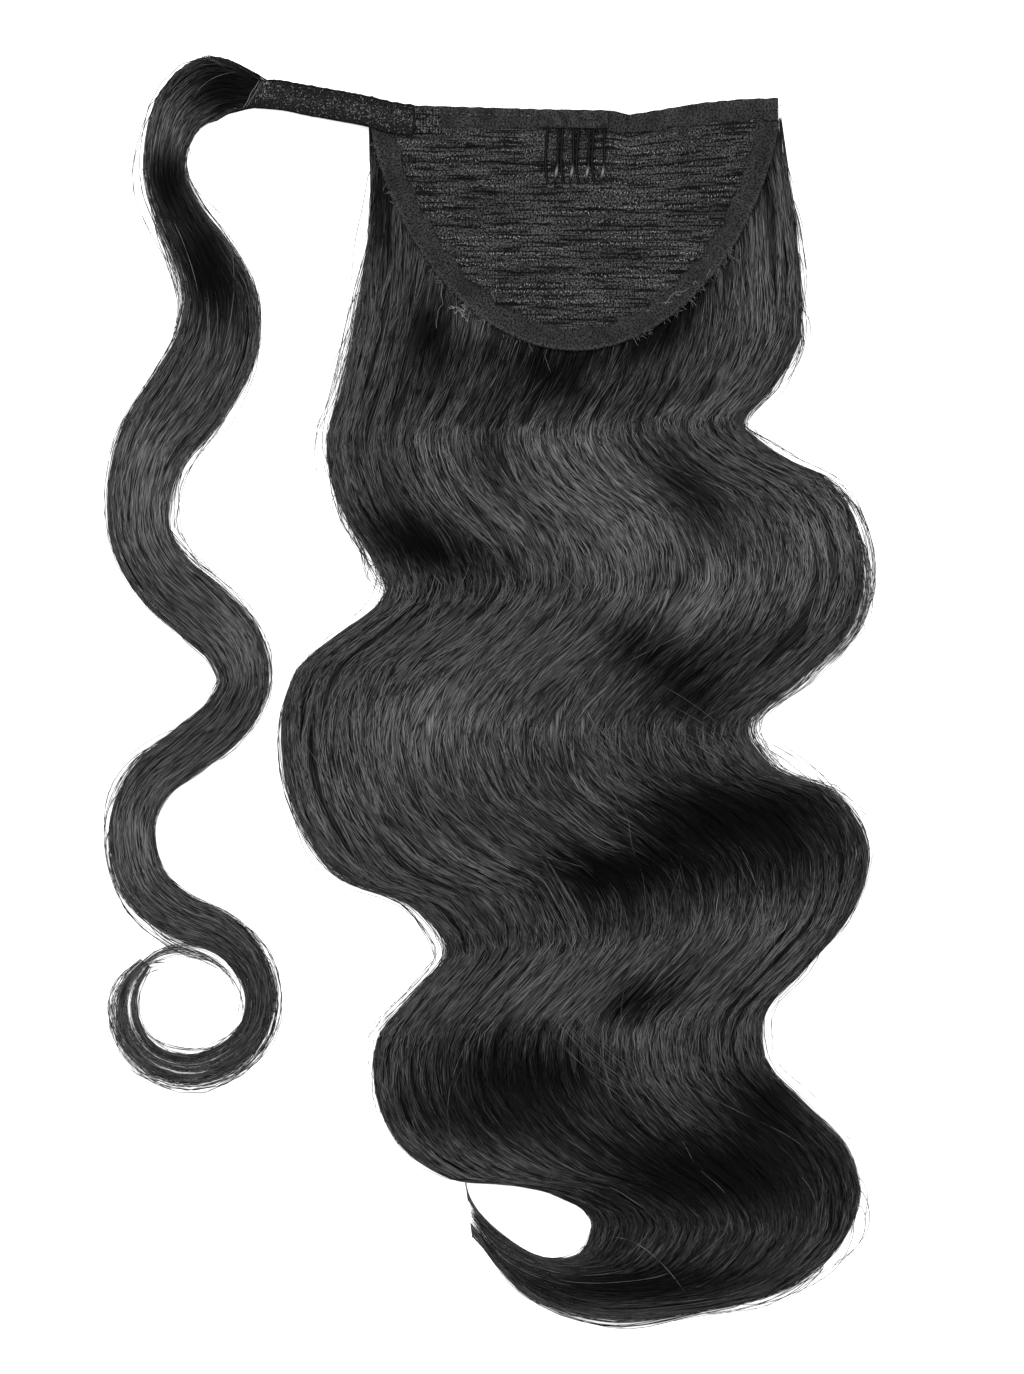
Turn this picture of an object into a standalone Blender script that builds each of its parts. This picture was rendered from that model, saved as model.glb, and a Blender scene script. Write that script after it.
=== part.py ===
# Wrap-around ponytail hairpiece, laid flat with its inner side up.
# A D-shaped knit base with a wire comb carries a long wavy fall of hair, and a
# hook-and-loop strap on the base's corner carries a narrow lock that wraps the ponytail.
# Plan frame of the tables: millimetres from the middle of the base's top edge,
# +X to the right, +Y away from the hair. Heights are measured from the surface it lies on.

import math
from typing import NamedTuple

import bmesh
import bpy
from mathutils import Vector

MM = 0.001
GAP = 0.3

# where the middle of the base's top edge stands in the part's own frame
BASE_X = 29.85
BASE_Y = 197.98

# knit base
BASE_HALF_WIDTH = 70.0
BASE_DEPTH = 84.0
BASE_CURVE_POWER = 1.6
BASE_HEIGHT = 6.0
BASE_SLOPE = 0.1
PANEL_GROOVE_TOP = 1.4
PANEL_RIB_TOP = 1.8
RIB_START = 3.7
RIB_PITCH = 5.45
RIB_SHARE = 0.72
PANEL_INSET = 1.3
PANEL_LOWEST = 0.5
EDGE_SHIFT_DEPTH = 40.0
RIB_FLANK = 0.35

# turned hems that cover the panel's edges
HEM_BOTTOM = PANEL_RIB_TOP + GAP
HEM_TOP = HEM_BOTTOM + 0.7
HEM_LIP = 0.8
EDGE_HEM_WIDTH = 7.5
EDGE_HEM_STATIONS = 40
TOP_HEM_WIDTH = 7.0
TOP_HEM_HALF_LENGTH = 69.0
EDGE_HEM_START = 7.6

# wire comb and the tape over its spine
WIRE = 0.9
TEETH = 4
TOOTH_PITCH = 5.25
COMB_LEFT = -7.45
COMB_SLANT = 0.035
COMB_ROOT_Y = -3.2
TAPE_HALF_LENGTH = 11.7
TAPE_CENTRE_X = -0.5
TAPE_TOP_Y = -0.6
TAPE_DEPTH = 6.4
TAPE_ROOF = 0.7
TAPE_WALL = 1.4

# strap from the base's left corner to the wrap lock
STRAP_THICKNESS = 1.5
STRAP_STEPS = 2
STRAP_COLUMNS = 2
SOFT_EDGE = 0.3
ANCHOR_LENGTH = 8.6
ANCHOR_WIDTH = 8.4
ANCHOR_THICKNESS = 0.8
ANCHOR_CENTRE = (-50.0, -5.4)

# fall of hair
HAIR_EDGE = 3.0
HAIR_EDGE_SHARE = 0.4
HAIR_LEAST = 1.5
DOME_POWER = 3.0
LOCK_GROOVE = 1.6
FULL_RISE = 20.0
HAIR_STEPS = 3
COLUMNS_PER_LOCK = 3
CAP_END = -88.0
CAP_CURVE = 0.02
LOCK_GROOVES = (0.0, 0.1, 0.19, 0.31, 0.41, 0.53, 0.64, 0.75, 0.88, 1.0)

# wrap lock
WRAP_STEPS = 2
WRAP_EDGE_SHARE = 0.35
WRAP_COLUMNS = 6


class EdgeRow(NamedTuple):
    x: float
    shift: float


class HairRow(NamedTuple):
    left_x: float
    left_y: float
    right_x: float
    right_y: float
    left_rise: float
    right_rise: float


class HollowRow(NamedTuple):
    x: float
    y: float
    half_length: float
    half_width: float
    turn: float
    depth: float


class WrapRow(NamedTuple):
    x: float
    y: float
    width: float
    rise: float


class StrapRow(NamedTuple):
    far_x: float
    far_y: float
    near_x: float
    near_y: float
    height: float


class ToothRow(NamedTuple):
    y: float
    half_gap: float
    height: float


# How far the base's top edge lies above or below a straight line.
TOP_EDGE = (
    EdgeRow(-70.0, 0.8),
    EdgeRow(-52.0, 0.0),
    EdgeRow(-12.0, -1.2),
    EdgeRow(12.0, -1.6),
    EdgeRow(18.5, -3.1),
    EdgeRow(29.0, -1.4),
    EdgeRow(42.5, 0.9),
    EdgeRow(56.0, 2.2),
    EdgeRow(70.0, 2.7),
)

# Each row is one line across the fall, from its left edge to its right edge.
HAIR_ROWS = (
    HairRow(-69.0, -3.0, 69.0, -3.0, 9, 9),
    HairRow(-69.5, -50.5, 76.0, -59.0, 15, 16),
    HairRow(-72.5, -69.0, 76.0, -77.5, 17, 19),
    HairRow(-78.0, -94.5, 66.5, -95.0, 22, 24),
    HairRow(-83.5, -116.0, 56.0, -108.0, 26, 24),
    HairRow(-78.0, -137.0, 65.5, -116.5, 22, 22),
    HairRow(-67.5, -154.0, 88.5, -130.0, 14, 27),
    HairRow(-63.0, -165.0, 97.5, -157.5, 14, 29),
    HairRow(-76.0, -177.0, 93.5, -176.0, 22, 24),
    HairRow(-93.5, -191.5, 76.5, -194.0, 27, 17),
    HairRow(-98.5, -217.0, 57.0, -212.0, 29, 20),
    HairRow(-94.0, -239.0, 64.5, -224.0, 28, 15),
    HairRow(-80.0, -260.5, 88.5, -234.5, 23, 12),
    HairRow(-51.5, -273.0, 98.5, -252.5, 17, 16),
    HairRow(-42.0, -286.5, 93.5, -273.0, 20, 24),
    HairRow(-53.5, -301.5, 77.0, -293.5, 23, 22),
    HairRow(-66.0, -317.0, 63.0, -309.5, 22, 22),
    HairRow(-67.0, -334.0, 63.5, -324.0, 17, 20),
    HairRow(-59.5, -352.0, 76.5, -338.5, 15, 15),
    HairRow(-42.5, -364.0, 91.0, -353.5, 14, 13),
    HairRow(-12.0, -368.0, 96.0, -370.0, 12, 16),
    HairRow(7.0, -379.0, 91.0, -385.0, 12, 17),
    HairRow(2.5, -390.5, 71.5, -402.0, 10, 12),
    HairRow(-10.0, -392.0, 42.5, -409.5, 9, 10),
    HairRow(-23.0, -385.0, 8.5, -411.5, 8, 8),
    HairRow(-31.5, -378.5, -18.5, -401.0, 6, 6),
    HairRow(-36.5, -371.5, -35.5, -380.0, 4, 4),
)

# Hollows where the hair dips: the middle, half sizes, turn in degrees and depth of each.
HOLLOWS = (
    HollowRow(-2.0, -95.0, 14.0, 9.0, 85, 6.0),
    HollowRow(-42.0, -157.0, 26.0, 8.0, -8, 6.0),
    HollowRow(60.0, -190.0, 26.0, 6.0, 20, 4.0),
    HollowRow(28.0, -165.0, 18.0, 6.0, 55, 3.0),
    HollowRow(66.0, -243.0, 34.0, 11.0, 4, 6.0),
    HollowRow(22.0, -259.0, 26.0, 8.0, 12, 6.0),
    HollowRow(27.0, -303.0, 14.0, 5.0, 25, 4.0),
    HollowRow(-18.0, -325.0, 30.0, 9.0, -25, 4.0),
    HollowRow(40.0, -360.0, 34.0, 12.0, -8, 4.0),
)

# Middle line, width and height of the wrap lock, from under the strap to its curled tip.
WRAP_ROWS = (
    WrapRow(-105.5, 4.8, 7.5, 3.0),
    WrapRow(-112.5, 5.8, 12.5, 3.3),
    WrapRow(-124.0, 6.3, 20.5, 6.0),
    WrapRow(-133.5, 0.5, 18.5, 7.0),
    WrapRow(-138.5, -10.5, 14.0, 7.5),
    WrapRow(-139.5, -23.5, 13.0, 7.5),
    WrapRow(-135.0, -36.0, 14.5, 7.0),
    WrapRow(-127.0, -50.0, 17.5, 6.5),
    WrapRow(-121.0, -66.0, 22.5, 7.0),
    WrapRow(-122.5, -80.5, 24.5, 8.0),
    WrapRow(-132.0, -98.5, 25.5, 8.5),
    WrapRow(-143.0, -113.5, 22.5, 8.5),
    WrapRow(-148.5, -132.5, 19.5, 8.0),
    WrapRow(-148.0, -145.5, 18.5, 7.5),
    WrapRow(-141.0, -159.0, 19.0, 7.0),
    WrapRow(-127.5, -171.5, 19.5, 7.0),
    WrapRow(-116.5, -183.0, 17.5, 7.5),
    WrapRow(-113.0, -195.5, 15.5, 7.5),
    WrapRow(-118.0, -206.5, 15.5, 7.0),
    WrapRow(-131.0, -218.0, 15.0, 6.5),
    WrapRow(-144.5, -229.0, 14.5, 6.5),
    WrapRow(-150.5, -241.5, 14.0, 6.5),
    WrapRow(-150.5, -252.5, 14.0, 6.5),
    WrapRow(-146.0, -265.0, 14.0, 6.5),
    WrapRow(-135.0, -274.5, 13.5, 6.0),
    WrapRow(-120.5, -281.0, 12.0, 6.0),
    WrapRow(-111.5, -289.5, 10.0, 5.5),
    WrapRow(-107.5, -300.5, 8.0, 5.0),
    WrapRow(-109.0, -312.0, 7.0, 4.5),
    WrapRow(-116.5, -321.5, 7.2, 4.5),
    WrapRow(-131.0, -327.0, 7.2, 4.0),
    WrapRow(-145.0, -322.5, 6.0, 3.5),
    WrapRow(-152.5, -310.5, 4.5, 3.0),
    WrapRow(-151.5, -299.0, 3.2, 2.5),
    WrapRow(-146.0, -291.5, 1.6, 1.8),
)

# Edges of the strap, from its slanted free end to the base, and its underside's height.
STRAP_ROWS = (
    StrapRow(-107.8, 9.2, -113.0, 0.0, 3.9),
    StrapRow(-102.0, 9.4, -102.0, -0.8, 4.4),
    StrapRow(-92.0, 7.6, -92.0, -2.8, 6.2),
    StrapRow(-81.0, 5.5, -81.0, -5.0, 8.6),
    StrapRow(-70.7, 3.5, -70.7, -7.1, 10.1),
    StrapRow(-62.0, 1.4, -62.0, -9.6, 10.4),
    StrapRow(-54.6, 0.2, -55.0, -10.4, 10.4),
)

# Half the distance between a tooth's legs, and the wire's height over the hem.
TOOTH_ROWS = (
    ToothRow(-8.0, 1.85, 0.0),
    ToothRow(-14.0, 2.0, 0.0),
    ToothRow(-19.5, 2.05, -0.1),
    ToothRow(-23.5, 1.55, -0.4),
    ToothRow(-26.5, 0.95, -0.7),
    ToothRow(-27.6, 0.5, -0.8),
)


def place(x, y, z):
    """A point of the plan frame in metres in the part's frame."""
    return Vector(((x + BASE_X) * MM, (y + BASE_Y) * MM, z * MM))


def smooth_rows(rows, steps):
    """A smooth curve through rows of numbers, with the first two numbers setting its pace."""
    gaps = [math.dist(a[:2], b[:2]) for a, b in zip(rows, rows[1:])]
    slopes = [[(q - p) / gap for p, q in zip(a, b)] for a, b, gap in zip(rows, rows[1:], gaps)]
    tangents = [slopes[0]]
    for before, after, near, far in zip(gaps, gaps[1:], slopes, slopes[1:]):
        total = before + after
        tangents.append([(p * after + q * before) / total for p, q in zip(near, far)])
    tangents.append(slopes[-1])
    curve = []
    for index, gap in enumerate(gaps):
        start, end = rows[index], rows[index + 1]
        for step in range(steps):
            t = step / steps
            from_start = 2 * t**3 - 3 * t**2 + 1
            leave = (t**3 - 2 * t**2 + t) * gap
            arrive = (t**3 - t**2) * gap
            curve.append([
                from_start * a + (1 - from_start) * b + leave * p + arrive * q
                for a, b, p, q in zip(start, end, tangents[index], tangents[index + 1])
            ])
    curve.append(list(rows[-1]))
    return curve


def material(name, colour, roughness, metallic=0.0):
    made = bpy.data.materials.new(name)
    made.use_nodes = True
    shader = made.node_tree.nodes["Principled BSDF"]
    shader.inputs["Base Color"].default_value = (*colour, 1.0)
    shader.inputs["Roughness"].default_value = roughness
    shader.inputs["Metallic"].default_value = metallic
    return made


def add_object(name, data, collection, finish):
    made = bpy.data.objects.new(name, data)
    made.data.materials.append(finish)
    collection.objects.link(made)
    return made


def loft(name, sections):
    """One closed mesh through equal-length sections, with a face over each end."""
    mesh = bpy.data.meshes.new(name)
    shape = bmesh.new()
    rings = [[shape.verts.new(point) for point in section] for section in sections]
    count = len(rings[0])
    for ring, following in zip(rings, rings[1:]):
        for index in range(count):
            after = (index + 1) % count
            shape.faces.new((ring[index], ring[after], following[after], following[index]))
    shape.faces.new(rings[0])
    shape.faces.new(rings[-1])
    bmesh.ops.recalc_face_normals(shape, faces=shape.faces)
    shape.to_mesh(mesh)
    shape.free()
    return mesh


def add_bevel(made, width):
    bevel = made.modifiers.new("edge", "BEVEL")
    bevel.width = width * MM
    bevel.segments = 1
    bevel.limit_method = "ANGLE"


def base_half_width(depth, inset=0.0):
    """Half the base's width at a depth below its straight top edge, or of an outline inside it."""
    share = min(depth / (BASE_DEPTH - inset), 1.0)
    return (BASE_HALF_WIDTH - inset) * math.sqrt(1 - share**BASE_CURVE_POWER)


def edge_shift(x):
    """How far the base's top edge lies above a straight line at a place along it."""
    for near, far in zip(TOP_EDGE, TOP_EDGE[1:]):
        if x <= far.x:
            share = (x - near.x) / (far.x - near.x)
            return near.shift + (far.shift - near.shift) * share
    return TOP_EDGE[-1].shift


def on_base(x, y, z):
    """A point of the base in metres, shifted with the uneven top edge where it is near it."""
    near_edge = max(0.0, 1 + y / EDGE_SHIFT_DEPTH)
    return Vector((x, y + edge_shift(x) * near_edge, z)) * MM


def make_base_panel(collection, finish):
    """The knit panel, with a low rib for each course of the knit."""
    lowest = BASE_DEPTH - PANEL_INSET - PANEL_LOWEST
    ribs = int((lowest - RIB_START) / RIB_PITCH)
    stations = [(PANEL_INSET, PANEL_GROOVE_TOP)]
    for rib in range(ribs):
        start = RIB_START + rib * RIB_PITCH
        end = start + RIB_PITCH * RIB_SHARE
        stations.append((start, PANEL_GROOVE_TOP))
        stations.append((start + RIB_FLANK, PANEL_RIB_TOP))
        stations.append((end - RIB_FLANK, PANEL_RIB_TOP))
        stations.append((end, PANEL_GROOVE_TOP))
    stations.append((lowest, PANEL_GROOVE_TOP))
    sections = []
    for depth, top in stations:
        scale = base_half_width(depth, PANEL_INSET) / BASE_HALF_WIDTH
        columns = [row.x * scale for row in TOP_EDGE]
        lower = [on_base(x, -depth, GAP) for x in columns]
        upper = [on_base(x, -depth, top) for x in reversed(columns)]
        sections.append(lower + upper)
    return add_object("base_panel", loft("base_panel", sections), collection, finish)


def base_outline(start_depth, stations):
    """Points and inward directions along the base's curved edge, left corner to right."""
    points = []
    for index in range(stations + 1):
        turn = math.pi * index / stations
        depth = start_depth + (BASE_DEPTH - start_depth) * math.sin(turn)
        half = base_half_width(depth)
        points.append(Vector((-half if index * 2 < stations else half, -depth)))
    points[stations // 2].x = 0.0
    outline = []
    for index, point in enumerate(points):
        before = points[max(index - 1, 0)]
        after = points[min(index + 1, stations)]
        along = (after - before).normalized()
        outline.append((point, Vector((-along.y, along.x))))
    outline[0] = (points[0], Vector((1.0, 0.0)))
    outline[-1] = (points[-1], Vector((-1.0, 0.0)))
    return outline


def make_edge_hem(collection, finish):
    """The turned hem over the curved edge: a flat band with a lip round the panel's edge."""
    profile = (
        (0.0, GAP), (0.0, HEM_TOP), (EDGE_HEM_WIDTH, HEM_TOP),
        (EDGE_HEM_WIDTH, HEM_BOTTOM), (HEM_LIP, HEM_BOTTOM), (HEM_LIP, GAP),
    )
    sections = []
    for point, inward in base_outline(EDGE_HEM_START, EDGE_HEM_STATIONS):
        section = []
        for reach, z in profile:
            spot = point + inward * reach
            section.append(on_base(spot.x, spot.y, z))
        sections.append(section)
    return add_object("edge_hem", loft("edge_hem", sections), collection, finish)


def profile_bar(name, profile, half_length, centre_x, collection, finish):
    """A (y, z) profile extruded along X, as a flat curve turned on its side."""
    curve = bpy.data.curves.new(name, "CURVE")
    curve.dimensions = "2D"
    curve.fill_mode = "BOTH"
    curve.extrude = half_length * MM
    outline = curve.splines.new("POLY")
    outline.points.add(len(profile) - 1)
    for point, (y, z) in zip(outline.points, profile):
        point.co = (y * MM, z * MM, 0.0, 1.0)
    outline.use_cyclic_u = True
    bar = add_object(name, curve, collection, finish)
    bar.rotation_euler = (math.pi / 2, 0.0, math.pi / 2)
    bar.location = (centre_x * MM, 0.0, 0.0)
    return bar


def make_top_hem(collection, finish):
    """The straight hem along the top edge, folded over the panel's edge."""
    profile = (
        (0.0, GAP), (-HEM_LIP, GAP), (-HEM_LIP, HEM_BOTTOM),
        (-TOP_HEM_WIDTH, HEM_BOTTOM), (-TOP_HEM_WIDTH, HEM_TOP), (0.0, HEM_TOP),
    )
    sections = []
    for row in TOP_EDGE:
        x = row.x * TOP_HEM_HALF_LENGTH / BASE_HALF_WIDTH
        sections.append([on_base(x, y, z) for y, z in profile])
    return add_object("top_hem", loft("top_hem", sections), collection, finish)


def make_comb_tape(collection, finish):
    """The tape that holds the comb's spine: a roof on a wall along the base's top edge."""
    floor = HEM_TOP + GAP
    under_roof = floor + WIRE + 2 * GAP
    inside = TAPE_TOP_Y - TAPE_WALL
    front = TAPE_TOP_Y - TAPE_DEPTH
    profile = (
        (TAPE_TOP_Y, floor), (TAPE_TOP_Y, under_roof + TAPE_ROOF),
        (front, under_roof + TAPE_ROOF), (front, under_roof),
        (inside, under_roof), (inside, floor),
    )
    return profile_bar("comb_tape", profile, TAPE_HALF_LENGTH, TAPE_CENTRE_X, collection, finish)


def comb_path():
    """The comb's one bent wire: narrow U teeth joined by small turns under the tape."""
    wire_height = HEM_TOP + GAP + WIRE / 2
    root = ToothRow(COMB_ROOT_Y, TOOTH_ROWS[0].half_gap, 0.0)
    leg = [root, *TOOTH_ROWS]
    path = []
    for tooth in range(TEETH):
        centre = COMB_LEFT + TOOTH_PITCH * tooth
        for side, rows in ((-1, leg), (1, reversed(leg))):
            for row in rows:
                x = centre + side * row.half_gap + COMB_SLANT * (row.y - COMB_ROOT_Y)
                path.append(Vector((x, row.y, wire_height + row.height)) * MM)
    return path


def make_comb(collection, finish):
    curve = bpy.data.curves.new("comb", "CURVE")
    curve.dimensions = "3D"
    curve.bevel_depth = WIRE / 2 * MM
    curve.bevel_resolution = 1
    curve.use_fill_caps = True
    path = comb_path()
    wire = curve.splines.new("POLY")
    wire.points.add(len(path) - 1)
    for point, spot in zip(wire.points, path):
        point.co = (*spot, 1.0)
    return add_object("comb", curve, collection, finish)


def make_strap_anchor(collection, finish):
    """The knit patch that finishes the strap's end on the base."""
    bpy.ops.mesh.primitive_cube_add(size=1.0)
    patch = bpy.context.active_object
    patch.name = "strap_anchor"
    size = Vector((ANCHOR_LENGTH, ANCHOR_WIDTH, ANCHOR_THICKNESS)) * MM
    for corner in patch.data.vertices:
        corner.co = Vector(a * b for a, b in zip(corner.co, size))
    patch.location = Vector((*ANCHOR_CENTRE, HEM_TOP + GAP + ANCHOR_THICKNESS / 2)) * MM
    patch.data.materials.append(finish)
    for owner in list(patch.users_collection):
        owner.objects.unlink(patch)
    collection.objects.link(patch)
    add_bevel(patch, SOFT_EDGE)
    return patch


def make_strap(collection, finish):
    """The hook-and-loop strap, a sheet through its edge rows thickened upwards."""
    mesh = bpy.data.meshes.new("strap")
    shape = bmesh.new()
    lines = []
    for far_x, far_y, near_x, near_y, height in smooth_rows(STRAP_ROWS, STRAP_STEPS):
        line = []
        for index in range(STRAP_COLUMNS + 1):
            share = index / STRAP_COLUMNS
            spot = place(near_x + (far_x - near_x) * share, near_y + (far_y - near_y) * share, height)
            line.append(shape.verts.new(spot))
        lines.append(line)
    for line, following in zip(lines, lines[1:]):
        for index in range(STRAP_COLUMNS):
            shape.faces.new((line[index], following[index], following[index + 1], line[index + 1]))
    shape.to_mesh(mesh)
    shape.free()
    strap = add_object("strap", mesh, collection, finish)
    thick = strap.modifiers.new("thickness", "SOLIDIFY")
    thick.thickness = STRAP_THICKNESS * MM
    thick.offset = 1.0
    add_bevel(strap, SOFT_EDGE)
    return strap


def hair_cap(y):
    """The highest the hair may reach, which is the base's underside where the base lies."""
    plane = BASE_HEIGHT - BASE_SLOPE * y
    beyond = max(0.0, CAP_END - y)
    return plane + CAP_CURVE * beyond**2


def hollow_depth(x, y):
    """How far the hollows pull the hair down at a place."""
    depth = 0.0
    for hollow in HOLLOWS:
        cosine, sine = math.cos(math.radians(hollow.turn)), math.sin(math.radians(hollow.turn))
        along = ((x - hollow.x) * cosine + (y - hollow.y) * sine) / hollow.half_length
        across = ((y - hollow.y) * cosine - (x - hollow.x) * sine) / hollow.half_width
        depth += hollow.depth * math.exp(-abs(along) ** 3 - across**2)
    return depth


def hair_columns():
    """Places across the fall, with 1 in a groove between two locks and 0 on a lock."""
    columns = []
    for start, end in zip(LOCK_GROOVES, LOCK_GROOVES[1:]):
        for index in range(COLUMNS_PER_LOCK):
            groove = 1.0 if index == 0 else 0.0
            columns.append((start + (end - start) * index / COLUMNS_PER_LOCK, groove))
    columns.append((1.0, 1.0))
    return columns


def make_hair_fall(collection, finish):
    """The wavy fall as one form of nine fused locks, flat where it lies."""
    left = smooth_rows([(row.left_x, row.left_y, row.left_rise) for row in HAIR_ROWS], HAIR_STEPS)
    right = smooth_rows([(row.right_x, row.right_y, row.right_rise) for row in HAIR_ROWS], HAIR_STEPS)
    sections = []
    for (left_x, left_y, left_rise), (right_x, right_y, right_rise) in zip(left, right):
        section = [place(left_x, left_y, 0.0)]
        for share, groove in hair_columns():
            x = left_x + (right_x - left_x) * share
            y = left_y + (right_y - left_y) * share
            rise = left_rise + (right_rise - left_rise) * share
            edge = min(HAIR_EDGE, HAIR_EDGE_SHARE * rise)
            crown = math.sqrt(1 - abs(2 * share - 1) ** DOME_POWER)
            height = edge + (rise - edge - hollow_depth(x, y)) * crown
            if 0.0 < share < 1.0:
                height -= groove * LOCK_GROOVE * min(1.0, rise / FULL_RISE)
            height = max(height, HAIR_LEAST)
            section.append(place(x, y, min(height, hair_cap(y))))
        section.append(place(right_x, right_y, 0.0))
        sections.append(section)
    return add_object("hair_fall", loft("hair_fall", sections), collection, finish)


def make_wrap_lock(collection, finish):
    """The narrow wrap lock: a low dome swept along its waves to the curled tip."""
    line = smooth_rows(WRAP_ROWS, WRAP_STEPS)
    sections = []
    for index, (x, y, width, rise) in enumerate(line):
        before = line[max(index - 1, 0)]
        after = line[min(index + 1, len(line) - 1)]
        along = Vector((after[0] - before[0], after[1] - before[1])).normalized()
        across = Vector((-along.y, along.x)) * width / 2
        section = [place(x + across.x, y + across.y, 0.0)]
        for column in range(WRAP_COLUMNS + 1):
            side = 1 - 2 * column / WRAP_COLUMNS
            edge = WRAP_EDGE_SHARE * rise
            height = edge + (rise - edge) * math.sqrt(1 - abs(side) ** DOME_POWER)
            section.append(place(x + across.x * side, y + across.y * side, height))
        section.append(place(x - across.x, y - across.y, 0.0))
        sections.append(section)
    return add_object("wrap_lock", loft("wrap_lock", sections), collection, finish)


def build():
    for made in list(bpy.data.objects):
        bpy.data.objects.remove(made, do_unlink=True)
    collection = bpy.data.collections.new("ponytail_hairpiece")
    bpy.context.scene.collection.children.link(collection)

    knit = material("knit", (0.035, 0.034, 0.034), 0.85)
    hem = material("hem", (0.03, 0.03, 0.03), 0.8)
    wire = material("wire", (0.02, 0.02, 0.021), 0.3, 0.6)
    loop_tape = material("loop_tape", (0.022, 0.022, 0.022), 0.9)
    hair = material("hair", (0.02, 0.019, 0.018), 0.4)

    base = bpy.data.objects.new("base_frame", None)
    collection.objects.link(base)
    base.location = place(0.0, 0.0, BASE_HEIGHT)
    base.rotation_euler = (-math.atan(BASE_SLOPE), 0.0, 0.0)
    base_pieces = (
        make_base_panel(collection, knit),
        make_edge_hem(collection, hem),
        make_top_hem(collection, hem),
        make_comb_tape(collection, hem),
        make_comb(collection, wire),
        make_strap_anchor(collection, knit),
    )
    for piece in base_pieces:
        piece.parent = base

    make_strap(collection, loop_tape)
    make_hair_fall(collection, hair)
    make_wrap_lock(collection, hair)


build()
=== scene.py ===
# Wavy wrap-around ponytail hairpiece, laid flat with the inner side of its base up.
# Hair is made of mesh strands over a dark form with painted shade, and the base of knit, hems and wire.
# Tables and dictionaries are in millimetres, measured from the middle of the base's top edge.

import math

import bmesh
import bpy
import numpy as np
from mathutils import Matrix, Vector


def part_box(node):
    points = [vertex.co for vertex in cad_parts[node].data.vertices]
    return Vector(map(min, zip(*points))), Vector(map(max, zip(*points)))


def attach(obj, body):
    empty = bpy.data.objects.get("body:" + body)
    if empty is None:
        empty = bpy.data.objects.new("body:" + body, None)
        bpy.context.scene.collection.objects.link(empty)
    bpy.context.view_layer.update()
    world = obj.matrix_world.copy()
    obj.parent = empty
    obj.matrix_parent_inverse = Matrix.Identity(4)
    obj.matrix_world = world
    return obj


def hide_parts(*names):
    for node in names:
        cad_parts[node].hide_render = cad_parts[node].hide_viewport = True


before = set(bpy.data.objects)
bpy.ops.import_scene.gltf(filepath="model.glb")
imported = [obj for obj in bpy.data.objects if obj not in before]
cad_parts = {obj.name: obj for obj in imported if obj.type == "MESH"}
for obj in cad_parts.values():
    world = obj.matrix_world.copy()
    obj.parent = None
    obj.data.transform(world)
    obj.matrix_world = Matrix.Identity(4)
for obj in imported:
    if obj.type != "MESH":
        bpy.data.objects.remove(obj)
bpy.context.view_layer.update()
print("frame loaded:", ", ".join(sorted(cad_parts)))

mm = 0.001
hemLow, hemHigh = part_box("top_hem")
homeX = (hemLow[0] + hemHigh[0]) / 2 / mm
hemRise = 2.93      # how far the top hem's highest point lies above the middle of the top edge
homeY = hemHigh[1] / mm - hemRise
baseSlope = 0.1
baseHeight = 6.0
baseTilt = math.atan(baseSlope)


def toFrame(points):
    # plan millimetres to metres in the frame
    moved = np.array(points, dtype=float)
    moved[..., 0] += homeX
    moved[..., 1] += homeY
    return moved * mm


def fromBase(points):
    # millimetres on the tilted base to plan millimetres
    points = np.array(points, dtype=float)
    cosine, sine = math.cos(baseTilt), math.sin(baseTilt)
    tilted = points.copy()
    tilted[..., 1] = points[..., 1] * cosine + points[..., 2] * sine
    tilted[..., 2] = -points[..., 1] * sine + points[..., 2] * cosine + baseHeight
    return tilted


# camera, light and floor

view = {
    "frameWidth": 1024,         # the photograph's own size
    "frameHeight": 1374,
    "mmPerPixel": 0.34,
    "basePixel": (575, 107),    # the middle of the base's top edge
    "distance": 2.2,
    "focusHeight": 6.0,
}

light = {
    "overheadSize": 2.4,
    "overheadHeight": 2.6,
    "overheadShift": (-0.12, 0.35),
    "overheadPower": 200.0,
    "fillStrength": 0.25,
}

backdrop = {
    "halfSize": 3.0,
    "colour": (0.9, 0.9, 0.9),
    "roughness": 0.9,
}


def addCamera():
    data = bpy.data.cameras.new("camera")
    camera = bpy.data.objects.new("camera", data)
    bpy.context.scene.collection.objects.link(camera)
    centreX = (view["frameWidth"] / 2 - view["basePixel"][0]) * view["mmPerPixel"]
    centreY = (view["basePixel"][1] - view["frameHeight"] / 2) * view["mmPerPixel"]
    x, y, z = toFrame((centreX, centreY, view["focusHeight"]))
    camera.location = (x, y, z + view["distance"])
    seen = view["frameHeight"] * view["mmPerPixel"] * mm
    data.sensor_width = 36.0
    data.lens = data.sensor_width * view["distance"] / seen
    bpy.context.scene.camera = camera


def addLight():
    data = bpy.data.lights.new("overhead", "AREA")
    data.shape = "DISK"
    data.size = light["overheadSize"]
    data.energy = light["overheadPower"]
    lamp = bpy.data.objects.new("overhead", data)
    lamp.location = (*light["overheadShift"], light["overheadHeight"])
    aim = Vector((0, 0, 0)) - lamp.location
    lamp.rotation_mode = "QUATERNION"
    lamp.rotation_quaternion = aim.to_track_quat("-Z", "Y")
    bpy.context.scene.collection.objects.link(lamp)
    world = bpy.data.worlds.new("studio")
    world.use_nodes = True
    world.node_tree.nodes["Background"].inputs["Color"].default_value = (1, 1, 1, 1)
    world.node_tree.nodes["Background"].inputs["Strength"].default_value = light["fillStrength"]
    bpy.context.scene.world = world
    bpy.context.scene.view_settings.view_transform = "Standard"


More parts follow.
